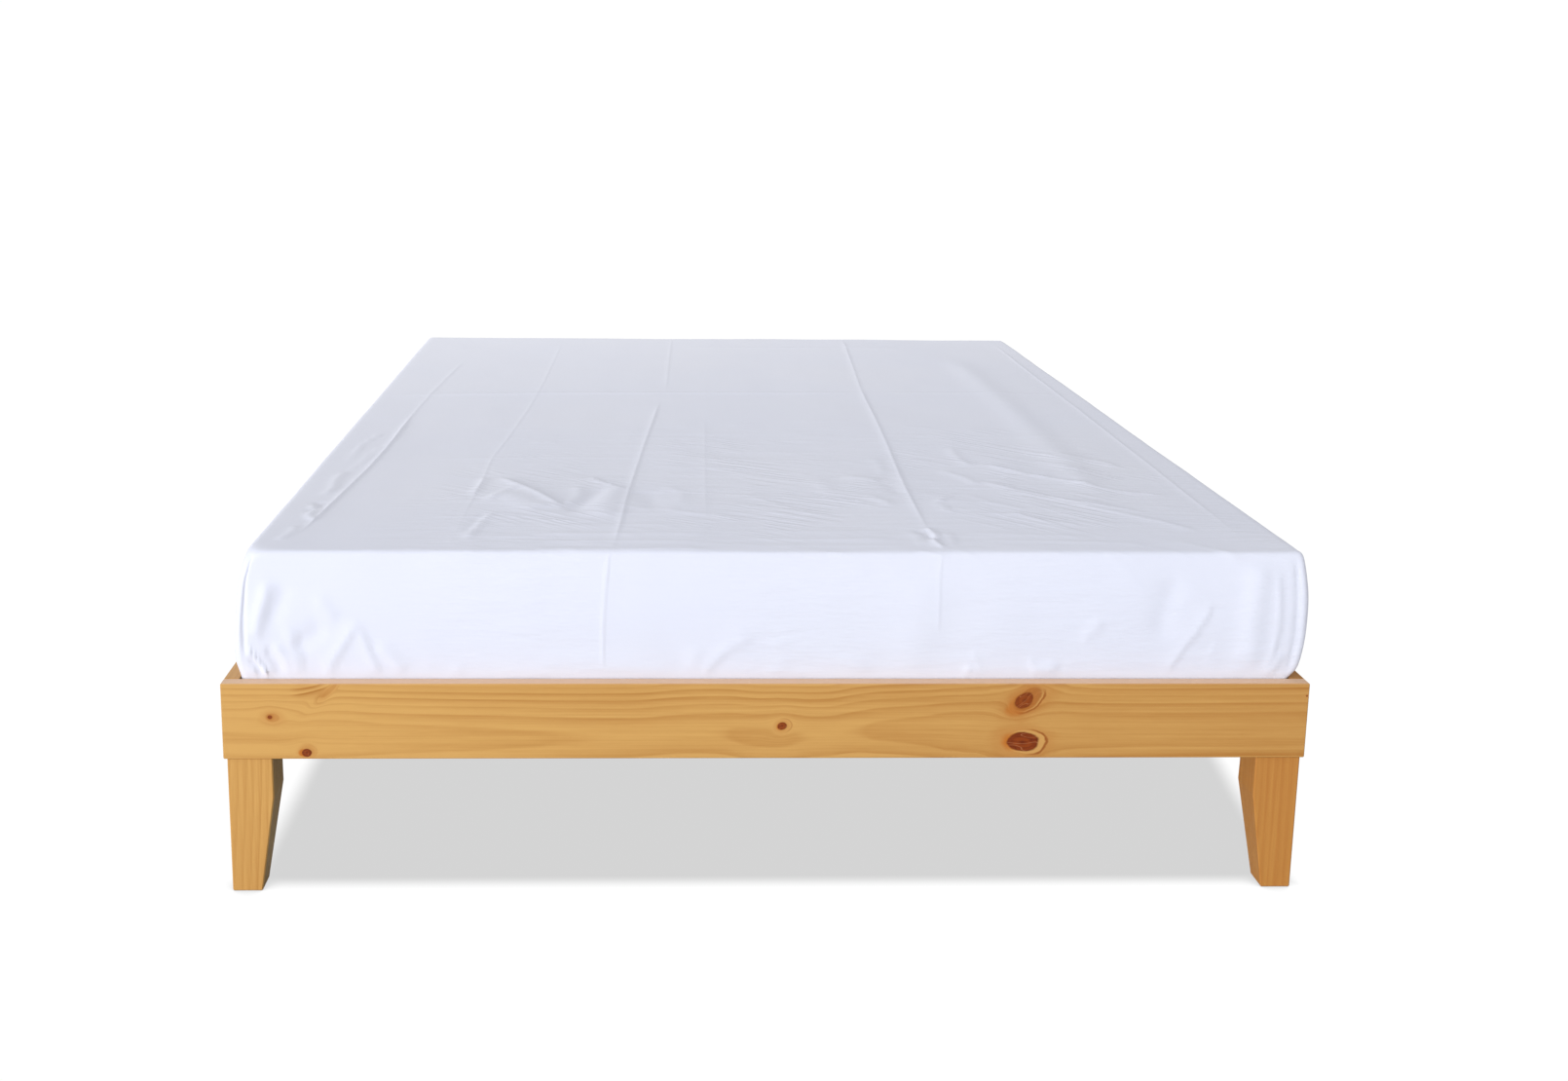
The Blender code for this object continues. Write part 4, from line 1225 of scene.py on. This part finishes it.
def random_stroke(rng, start, heading, length, height, width):
    """A short bent stroke that starts at a place and runs about where heading (degrees) points."""
    turn = math.radians(heading)
    points = [np.array(start)]
    for _ in range(RANDOM_PARTS):
        turn += rng.uniform(-RANDOM_BEND, RANDOM_BEND)
        points.append(points[-1] + length / RANDOM_PARTS * np.array((math.cos(turn), math.sin(turn))))
    kind = rng.choice(("ridge", "roll", "roll"))
    return Stroke(height, width, kind, tuple(map(tuple, points)))


def top_puckers(rng):
    """Small puckers near the foot, which run across the bed and slant towards its right corner."""
    made = []
    for _ in range(TOP_PUCKERS.count):
        x = rng.uniform(*TOP_PUCKER_ENDS)
        y = TOP_PUCKER_FOOT + TOP_PUCKER_REACH * rng.random() ** TOP_PUCKER_CROWDING
        slant = max(0, min(1, (x - TOP_PUCKER_SLANT_FROM) / TOP_PUCKER_SLANT_OVER))
        heading = rng.uniform(-TOP_PUCKERS.lean, TOP_PUCKERS.lean) - TOP_PUCKER_SLANT * slant
        length = rng.uniform(*TOP_PUCKERS.lengths) * MM
        height = rng.uniform(*TOP_PUCKERS.heights) * MM
        width = rng.uniform(*TOP_PUCKERS.widths) * MM
        made.append(random_stroke(rng, (x, y), heading, length, height, width))
    return made


def side_puckers(rng):
    """Wrinkles that rise from where the sheet is pushed down behind the rails."""
    made = []
    for number in range(SIDE_PUCKERS.count):
        share = SIDE_PUCKER_SHARES[0] + SIDE_PUCKER_SHARES[1] * rng.random()
        height = rng.uniform(*SIDE_PUCKERS.heights) * MM
        width = rng.uniform(*SIDE_PUCKERS.widths) * MM
        length = rng.uniform(*SIDE_PUCKERS.lengths) * MM
        lean = rng.uniform(-SIDE_PUCKERS.lean, SIDE_PUCKERS.lean)
        down = SHEET_DROP * share
        # Of every eight, three are on the left, three on the right, one is at the head and one at the foot
        edge = number % 8
        if edge < 3:
            start = (-TOP_HALF_WIDTH - down, rng.uniform(*ALONG_SIDE))
            heading = lean
        elif edge < 6:
            start = (TOP_HALF_WIDTH + down, rng.uniform(*ALONG_SIDE))
            heading = 180 + lean
        elif edge < 7:
            start = (rng.uniform(*ALONG_HEAD), TOP_HALF_LENGTH + down)
            heading = -90 + lean
            height *= HEAD_HEIGHT_SHARE
        else:
            down = SHEET_DROP * (FOOT_PUCKER_SHARES[0] + share * FOOT_PUCKER_SHARES[1])
            start = (rng.uniform(*ALONG_FOOT), -TOP_HALF_LENGTH - down)
            heading = 90 + lean
            length *= FOOT_LENGTH_SHARE
            height *= FOOT_HEIGHT_SHARE
        made.append(random_stroke(rng, start, heading, length, height, width))
    return made


def corner_radius(x, y, height):
    """The radius of the corner that is nearest to x and y."""
    heights, left, right = zip(*CORNERS_MM)
    on_left = np.interp(height / MM, heights, left) * MM
    on_right = np.interp(height / MM, heights, right) * MM
    return np.where((x < 0) & (y < 0), on_left, on_right)


def rounded_corner(x, y, half_x, half_y, radius):
    """Moves the points of a rectangle so that its outline has round corners."""
    a = np.clip((np.abs(x) - (half_x - radius)) / radius, 0, 1)
    b = np.clip((np.abs(y) - (half_y - radius)) / radius, 0, 1)
    new_x = np.minimum(np.abs(x), half_x - radius) + radius * a * np.sqrt(1 - b * b / 2)
    new_y = np.minimum(np.abs(y), half_y - radius) + radius * b * np.sqrt(1 - a * a / 2)
    return np.sign(x) * new_x, np.sign(y) * new_y


def bunched(half, steps_mm, guides, bunch_mm):
    """Places from -half to half: a bunch of them round each guide, and even steps between."""
    steps = np.array(steps_mm).T * MM
    bunch = np.array(bunch_mm) * MM
    fixed = sorted([-half, half] + [guide + gap for guide in guides for gap in bunch])
    made = [-half]
    for start, end in zip(fixed, fixed[1:]):
        count = max(1, round((end - start) / float(np.interp((start + end) / 2, *steps))))
        widths = [float(np.interp(place, *steps)) for place in np.linspace(start, end, count)]
        made.extend(start + (end - start) * np.cumsum(widths) / np.sum(widths))
    return np.array(made)


def across_at(guide, y):
    pairs = sorted((point[1], point[0]) for point in guide)
    return float(np.interp(y, *zip(*pairs))) - TOP_SHIFT


def along_at(guide, x):
    return float(np.interp(x, *zip(*guide)))


def grid_places():
    """The x and y of the top's grid, whose lines follow the creases."""
    marks_x = [across_at(guide, GUIDE_ROW) for guide in COLUMN_GUIDES]
    marks_y = [along_at(guide, 0) for guide in CROSS_GUIDES]
    columns = bunched(TOP_HALF_WIDTH, COLUMN_STEPS_MM, marks_x, COLUMN_BUNCH_MM)
    rows = bunched(TOP_HALF_LENGTH, ROW_STEPS_MM, marks_y, ROW_BUNCH_MM)
    x = np.empty((len(columns), len(rows)))
    y = np.empty_like(x)
    ends_x = (-TOP_HALF_WIDTH, TOP_HALF_WIDTH)
    ends_y = (-TOP_HALF_LENGTH, TOP_HALF_LENGTH)
    for number, place in enumerate(rows):
        here = [across_at(guide, place) for guide in COLUMN_GUIDES]
        x[:, number] = np.interp(columns, [ends_x[0], *marks_x, ends_x[1]], [ends_x[0], *here, ends_x[1]])
    for number, place in enumerate(columns):
        here = [along_at(guide, place) for guide in CROSS_GUIDES]
        y[number] = np.interp(rows, [ends_y[0], *marks_y, ends_y[1]], [ends_y[0], *here, ends_y[1]])
    return x, y


def plain_grid(step):
    columns = np.linspace(-TOP_HALF_WIDTH, TOP_HALF_WIDTH, round(2 * TOP_HALF_WIDTH / step) + 1)
    rows = np.linspace(-TOP_HALF_LENGTH, TOP_HALF_LENGTH, round(2 * TOP_HALF_LENGTH / step) + 1)
    return np.meshgrid(columns, rows, indexing="ij")


def spread_out(values, half, out):
    """Moves the ends of a row of places out, or in, and leaves its middle alone."""
    zone = max(SPREAD_ZONE, SPREAD_TIMES * abs(out))
    share = np.clip((np.abs(values) - (half - zone)) / zone, 0, 1)
    return values + np.sign(values) * out * share


def crown_over(x, y):
    """The top's gentle rise from its edges to its middle."""
    across = 1 - np.abs(x / TOP_HALF_WIDTH) ** CROWN_POWERS[0]
    along = 1 - np.abs(y / TOP_HALF_LENGTH) ** CROWN_POWERS[1]
    return CROWN * across * along


class Bedding:
    """The form of the made bed: a top grid, then rings of points down the sides and under.

    Every second ring, and every second point of a ring, belongs to a finer mesh that only the foot
    face has. It goes fine_rings down and round the corners.
    """

    def __init__(self, x, y, reach, section, fine_rings=0):
        self.x, self.y = x, y
        self.numbers = np.arange(x.size).reshape(x.shape)
        height = section[0][0]
        round_x, round_y = rounded_corner(x, y, TOP_HALF_WIDTH, TOP_HALF_LENGTH, corner_radius(x, y, height))
        surface = np.stack((round_x + TOP_SHIFT, round_y, height + crown_over(x, y)), axis=-1)
        places = [surface.reshape(-1, 3)]
        cloth = [np.stack((x + TOP_SHIFT, y), axis=-1).reshape(-1, 2)]

        rim_x, rim_y = with_halves(rim_of(x)), with_halves(rim_of(y))
        size = len(rim_x)
        fine = np.zeros(size, bool)
        if fine_rings:
            fine[:2 * (x.shape[0] - 1 + FINE_CORNER) + 1] = True
            fine[-2 * FINE_CORNER:] = True
        even = np.arange(size) % 2 == 0
        self.index = np.full((len(section), size), -1)
        self.index[0, even] = rim_of(self.numbers)
        count = x.size
        for ring, (row, arc) in enumerate(zip(section, reach)):
            kept = fine & (ring <= fine_rings)
            if ring % 2 == 0:
                kept = kept | even
            if ring == 0:
                kept = kept & ~even
            ring_places, ring_cloth = ring_of(rim_x, rim_y, row, section[0], arc)
            self.index[ring, kept] = count + np.arange(kept.sum())
            count += kept.sum()
            places.append(ring_places[kept])
            cloth.append(ring_cloth[kept])
        self.places = np.concatenate(places)
        self.cloth = np.concatenate(cloth)
        self.under = None

    def close_below(self, height, out):
        """Adds an underside with the top's own grid, drawn in by out."""
        half_x, half_y = TOP_HALF_WIDTH + out, TOP_HALF_LENGTH + out
        x, y = self.x * (half_x / TOP_HALF_WIDTH), self.y * (half_y / TOP_HALF_LENGTH)
        x, y = rounded_corner(x, y, half_x, half_y, corner_radius(x, y, height))
        under = np.stack((x, y, np.full_like(x, height)), axis=-1).reshape(-1, 3)
        self.under = self.numbers + len(self.places)
        self.places = np.concatenate((self.places, under))

    def faces(self):
        halves = {}
        for first, half in zip(self.index[0, ::2], self.index[0, 1::2]):
            halves[int(first)] = int(half)
        made = []
        ahead = dict(zip(self.index[0, ::2].tolist(), np.roll(self.index[0, ::2], -1).tolist()))
        for quad in cells_of(self.numbers).tolist():
            face = []
            for first, second in zip(quad, quad[1:] + quad[:1]):
                face.append(first)
                if ahead.get(first) == second and halves[first] >= 0:
                    face.append(halves[first])
            made.append(face)
        for ring in range(0, len(self.index) - 1, 2):
            upper, middle, lower = self.index[ring:ring + 3].tolist()
            for a in range(0, len(upper), 2):
                b, c = a + 1, (a + 2) % len(upper)
                if middle[b] >= 0:
                    for left, right in ((a, b), (b, c)):
                        for above, below in ((upper, middle), (middle, lower)):
                            made.append((above[left], below[left], below[right], above[right]))
                else:
                    left_side, right_side = (upper[a], middle[a], lower[a]), (lower[c], middle[c], upper[c])
                    round_cell = (*left_side, lower[b], *right_side, upper[b])
                    made.append([number for number in round_cell if number >= 0])
        if self.under is not None:
            made += wall_between(self.index[-1, ::2], rim_of(self.under))
            made += cells_of(self.under)[:, (0, 3, 2, 1)].tolist()
        return made


def with_halves(rim):
    """A closed line's values with the half-way values put in between."""
    return np.stack((rim, (rim + np.roll(rim, -1)) / 2), axis=-1).ravel()


def ring_of(rim_x, rim_y, row, first, arc):
    """A ring's places, and their places on the flat cloth."""
    height, left, right, ends = row
    out_x = (left + right - first[1] - first[2]) / 2
    out_y = ends - first[3]
    shift = (right - left) / 2
    radius = corner_radius(rim_x, rim_y, height)
    half_x, half_y = TOP_HALF_WIDTH + out_x, TOP_HALF_LENGTH + out_y
    x = spread_out(rim_x, TOP_HALF_WIDTH, out_x)
    y = spread_out(rim_y, TOP_HALF_LENGTH, out_y)
    turned_x = np.clip((np.abs(x) - (half_x - radius)) / radius, 0, 1) * np.sign(x)
    turned_y = np.clip((np.abs(y) - (half_y - radius)) / radius, 0, 1) * np.sign(y)
    size = np.hypot(turned_x, turned_y)
    turned_x, turned_y = turned_x / size, turned_y / size
    cloth_x = x + (rim_x - x) * np.abs(turned_x) + turned_x * arc + shift
    cloth_y = y + (rim_y - y) * np.abs(turned_y) + turned_y * arc
    x, y = rounded_corner(x, y, half_x, half_y, radius)
    places = np.stack((x + shift, y, np.full_like(x, height)), axis=-1)
    return places, np.stack((cloth_x, cloth_y), axis=-1)


def mesh_object(name, places, faces, material):
    mesh = bpy.data.meshes.new(name)
    mesh.from_pydata(places, [], faces)
    mesh.shade_smooth()
    mesh.materials.append(material)
    made = bpy.data.objects.new(name, mesh)
    bpy.context.scene.collection.objects.link(made)
    return made


def normals_of(mesh):
    values = np.empty(len(mesh.vertices) * 3)
    mesh.vertex_normals.foreach_get("vector", values)
    return values.reshape(-1, 3)


def region(values, low, high, soft):
    """1 where the values lie between low and high, with soft ends."""
    return np.clip((values - low) / soft, 0, 1) * np.clip((high - values) / soft, 0, 1)


def cloth_heights(cloth, heights_above_floor):
    rng = random.Random(PUCKER_SEED)
    raised = np.zeros(len(cloth))
    for stroke in (*STROKES, *top_puckers(rng), *side_puckers(rng)):
        raised += raised_by(stroke, cloth)
    foot = region(cloth[:, 0], *RIPPLE_ACROSS) * region(cloth[:, 1], *RIPPLE_ALONG)
    patches = np.clip(waves(cloth, RIPPLE_PATCHES) * RIPPLE_PATCH_GAIN + RIPPLE_PATCH_SHIFT, 0, 1)
    raised += waves(cloth, RIPPLES) * RIPPLE * (foot * patches + RIPPLE_ELSEWHERE)
    raised += waves(cloth, SWELLS) * SWELL
    raised += waves(cloth, FOOT_SWELLS) * SWELL * FOOT_SWELL_SHARE * (cloth[:, 1] < -TOP_HALF_LENGTH)
    raised += waves(cloth, SMALL_SWELLS) * SWELL * SMALL_SWELL_SHARE
    above_rail = np.clip((heights_above_floor - (RAIL_TOP + FLAT_ABOVE_RAIL)) / RAISED_OVER, 0, 1)
    return np.maximum(raised, DEEPEST_DENT) * above_rail


def drawn_in(places):
    """Draws the right side in above the rail, more and more towards the head."""
    x, y, z = places.T
    aside = np.clip(x / HALF_WIDTH, 0, 1) ** TAPER_POWER
    beyond = np.clip((y + HALF_LENGTH) / (2 * HALF_LENGTH), 0, 1)
    above = np.clip((z - TAPER_FROM) / TAPER_OVER, 0, 1)
    return np.stack((x - RIGHT_TAPER * aside * beyond * above, y, z), axis=-1)


def make_sheet():
    form = Bedding(*grid_places(), SHEET_REACH, SHEET_SECTION, FINE_RINGS)
    form.places = drawn_in(form.places)
    sheet = mesh_object("sheet", form.places, form.faces(), cotton_material())
    raised = cloth_heights(form.cloth, form.places[:, 2])
    places = form.places + normals_of(sheet.data) * raised[:, None]
    sheet.data.vertices.foreach_set("co", places.ravel())
    sheet.data.update()
    hem = make_hem(form)
    for piece in (sheet, hem):
        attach(piece, "bedding")
    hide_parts("bed_sheet")


def make_hem(form):
    """The stitched hem along the sheet's edge, which lies under the mattress."""
    edge = form.places[form.index[-1, ::2]]
    centre = np.array((edge[:, 0].mean(), edge[:, 1].mean(), 0))
    outward = edge - centre
    height, side, _, end = SHEET_SECTION[-1]
    half = np.array((HALF_WIDTH + side, HALF_LENGTH + end))
    rows = []
    for reach, drop in np.array(HEM_SECTION_MM) * MM:
        scale = (half + reach) / half
        row = centre + outward * np.array((*scale, 0))
        row[:, 2] = height - drop
        rows.append(row)
    places = np.concatenate(rows)
    numbers = np.arange(len(places)).reshape(len(rows), -1)
    ahead = np.roll(numbers, -1, axis=1)
    faces = np.stack((numbers[:-1], ahead[:-1], ahead[1:], numbers[1:]), axis=-1).reshape(-1, 4)
    return mesh_object("sheet_hem", places, faces.tolist(), bpy.data.materials["cotton_sheet"])


def fine_creases(x, y, seed, slant, middle, half):
    """Sharp fine creases in one part of the top. They run to the right, and to the foot by slant."""
    across = CREASES_PER_METRE / math.hypot(1, slant)
    place = joined(x - y * slant, y + x * slant)
    pattern = Pattern((across * CREASE_LENGTH_SHARE, across, 1), 1)
    lines = noise(place, pattern, seed).size().between(*CREASE_EDGES)
    gap = ((x - middle[0]) / half[0]) ** 2 + ((y - middle[1]) / half[1]) ** 2
    patches = noise(joined(x, y), CREASE_PATCHES, seed + CREASE_PATCH_SEED).between(*CREASE_PATCH_EDGES)
    return lines * gap.between(*CREASE_PART_EDGES) * patches


def cotton_material():
    """Plain woven cotton, washed and ironed in squares."""
    material, tree, shader = new_material("cotton_sheet")
    x, y, z = coordinates(tree)
    place = joined(x, y, z)
    warp = ((x + z * WARP_LEAN) * THREADS).sine()
    weft = ((y + z) * THREADS).sine()
    slubs = noise(place, SLUBS[0]) + noise(place, SLUBS[1])
    least, more = CRIMP_FOOT_SHARES
    near_foot = (y + CRIMP_FROM).between(0, CRIMP_OVER) * more + least
    least, more = CRIMP_PATCH_SHARES
    patches = noise(place, CRIMP_PATCHES).between(*CRIMP_PATCH_EDGES) * more + least
    crimp = noise(place, CRIMPS) * near_foot * patches * (x + CRIMP_LEFT_EDGE).between(*CRIMP_LEFT_EDGES)
    parts = [fine_creases(x, y, seed, *part) * share for seed, share, *part in FINE_CREASES]
    creases = parts[0] + parts[1] + parts[2]
    above = (z - CREASES_ABOVE).between(0, CREASES_OVER)
    by_slubs, by_clouds = COTTON_SHADE_SHARES
    shade = (slubs * by_slubs + noise(place, COTTON_CLOUDS) * by_clouds + 0.5).at_least(0).at_most(1)
    of_weave, of_slubs, of_crimp, of_creases = COTTON_BUMP_SHARES
    height = warp * weft * of_weave + slubs * of_slubs + crimp * of_crimp + creases * above * of_creases
    plain, rough_slubs = COTTON_ROUGHNESS
    colour = mixed(shade, COTTON_COOL, COTTON_WARM)
    finish_shader(shader, colour, slubs * rough_slubs + plain, height, COTTON_BUMP, **COTTON_SHEEN)
    return material


def ticking_material():
    """Quilted mattress cloth with a fine woven stripe."""
    material, tree, shader = new_material("ticking_cloth")
    x, y, z = coordinates(tree)
    seams = [(line * (math.pi / QUILT_PITCH)).sine().size() for line in (x + y, x - y)]
    puff = seams[0].at_most(seams[1]) ** QUILT_POWER
    stripe = (x * (math.tau / STRIPE_PITCH)).sine().between(*STRIPE_EDGES)
    weave = (x * TICKING_THREADS).sine() * ((y + z) * TICKING_THREADS).sine()
    fuzz = noise(joined(x, y, z), TICKING_FUZZ)
    shade = (fuzz * TICKING_SHADE_SHARE + 0.5).at_least(0).at_most(1)
    colour = mixed(stripe * STRIPE_SHARE, mixed(shade, TICKING_PALE, TICKING_SHADE), TICKING_STRIPE)
    of_puff, of_weave, of_fuzz = TICKING_BUMP_SHARES
    height = puff * of_puff + weave * of_weave + fuzz * of_fuzz
    plain, rough_fuzz = TICKING_ROUGHNESS
    finish_shader(shader, colour, fuzz * rough_fuzz + plain, height, TICKING_BUMP)
    return material


def make_mattress():
    lower = np.array((MATTRESS_INSET, 0, 0, 0))
    inner = SHEET_SECTION[:FINE_RINGS + 1] - (0, MATTRESS_INSET, MATTRESS_INSET, MATTRESS_INSET)
    inner[:LOWERED_RINGS] -= lower
    inner[0] = SHEET_SECTION[0] - lower
    foot = [(MATTRESS_UNDER + up, out, out, out) for up, out in np.array(MATTRESS_FOOT_MM) * MM]
    inner = np.concatenate((inner, foot))
    form = Bedding(*plain_grid(MATTRESS_GRID), np.zeros(len(inner)), inner)
    form.close_below(MATTRESS_UNDER, MATTRESS_FLOOR_IN)
    form.places = drawn_in(form.places)
    mattress = mesh_object("mattress_ticking", form.places, form.faces(), ticking_material())
    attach(mattress, "bedding")
    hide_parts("mattress")


# Camera, light and floor


def make_camera():
    forward = Vector((
        math.sin(CAMERA_YAW) * math.cos(CAMERA_PITCH),
        math.cos(CAMERA_YAW) * math.cos(CAMERA_PITCH),
        -math.sin(CAMERA_PITCH),
    ))
    right = Vector((math.cos(CAMERA_YAW), -math.sin(CAMERA_YAW), 0))
    down = forward.cross(right)
    turned_right = right * math.cos(CAMERA_ROLL) - down * math.sin(CAMERA_ROLL)
    turned_up = -(right * math.sin(CAMERA_ROLL) + down * math.cos(CAMERA_ROLL))
    turn = Matrix((turned_right, turned_up, -forward)).transposed()

    lens = bpy.data.cameras.new("camera")
    lens.sensor_width = SENSOR_WIDTH_MM
    lens.lens = FOCAL_LENGTH_PX * SENSOR_WIDTH_MM / IMAGE_WIDTH_PX
    lens.shift_x = (IMAGE_WIDTH_PX / 2 - PRINCIPAL_POINT_PX[0]) / IMAGE_WIDTH_PX
    lens.shift_y = (PRINCIPAL_POINT_PX[1] - IMAGE_HEIGHT_PX / 2) / IMAGE_WIDTH_PX
    camera = bpy.data.objects.new("camera", lens)
    camera.matrix_world = Matrix.Translation(CAMERA_PLACE) @ turn.to_4x4()
    bpy.context.scene.collection.objects.link(camera)
    bpy.context.scene.camera = camera


def make_dome():
    """A plain white surrounding, which lights the bed and is mirrored less strongly than it is seen."""
    world = bpy.data.worlds.new("studio")
    bpy.context.scene.world = world
    world.use_nodes = True
    tree = world.node_tree
    backdrop = next(node for node in tree.nodes if node.type == "BACKGROUND")
    backdrop.inputs["Color"].default_value = (1, 1, 1, 1)
    seen = added(tree, "LightPath", {}, "Is Camera Ray")
    mirrored = added(tree, "LightPath", {}, "Is Glossy Ray")
    strength = seen * (SEEN_WHITE - DOME_LIGHT) - mirrored * (DOME_LIGHT - DOME_IN_GLOSS) + DOME_LIGHT
    feed(backdrop.inputs["Strength"], strength)


def make_lamp(lamp):
    """A large soft lamp. Its azimuth is measured from the camera's side of the bed."""
    turn = math.radians(lamp.azimuth)
    rise = math.radians(lamp.elevation)
    light = bpy.data.lights.new(lamp.name, "AREA")
    light.shape = "DISK"
    light.size = lamp.size
    light.energy = lamp.power
    light.color = lamp.colour
    away = Vector((math.sin(turn) * math.cos(rise), -math.cos(turn) * math.cos(rise), math.sin(rise)))
    placed = bpy.data.objects.new(lamp.name, light)
    placed.location = Vector(lamp.target) + away * lamp.distance
    placed.rotation_euler = away.to_track_quat("Z", "Y").to_euler()
    bpy.context.scene.collection.objects.link(placed)


def floor_material():
    """White, with a flat grey contact shadow. From below it is clear, so that the underside shows."""
    material = bpy.data.materials.new("floor")
    material.use_nodes = True
    tree = material.node_tree
    tree.nodes.clear()
    openness = added(tree, "AmbientOcclusion", {"Distance": CONTACT_REACH}, "AO").between(*CONTACT_SHARES)
    x, y, _ = coordinates(tree)
    spread = (y + SHADOW_HALF_LENGTH).at_least(0).at_most(SHADOW_HALF_LENGTH) * SHADOW_SPREAD
    beside = (x - spread - SHADOW_RIGHT).at_least(x * -1 - SHADOW_LEFT)
    beyond = y.size() - SHADOW_HALF_LENGTH
    light = openness * beside.at_least(beyond).between(-SHADOW_SOFTNESS, SHADOW_SOFTNESS)
    glow = added(tree, "Emission", {"Strength": light * (SEEN_WHITE - SHADOW_GREY) + SHADOW_GREY})
    matt = added(tree, "BsdfDiffuse", {"Color": (FLOOR_ALBEDO, FLOOR_ALBEDO, FLOOR_ALBEDO, 1)})
    lit = added(tree, "MixShader", {0: added(tree, "LightPath", {}, "Is Camera Ray"), 1: matt, 2: glow})
    below = added(tree, "NewGeometry", {}, "Backfacing")
    sided = added(tree, "MixShader", {0: below, 1: lit, 2: added(tree, "BsdfTransparent", {})})
    output = tree.nodes.new("ShaderNodeOutputMaterial")
    feed(output.inputs["Surface"], sided)
    return material


def make_floor():
    corners = [(x * FLOOR_HALF_SIZE, y * FLOOR_HALF_SIZE, 0) for x, y in ((-1, -1), (1, -1), (1, 1), (-1, 1))]
    floor = mesh_object("floor", corners, [(0, 1, 2, 3)], floor_material())
    floor.location.z = -FLOOR_DROP


def main():
    scene = bpy.context.scene
    scene.view_settings.view_transform = "Standard"
    make_camera()
    make_dome()
    for lamp in LAMPS:
        make_lamp(lamp)
    make_floor()
    dress_wood()
    add_screws(dress_hardware())
    make_mattress()
    make_sheet()


main()
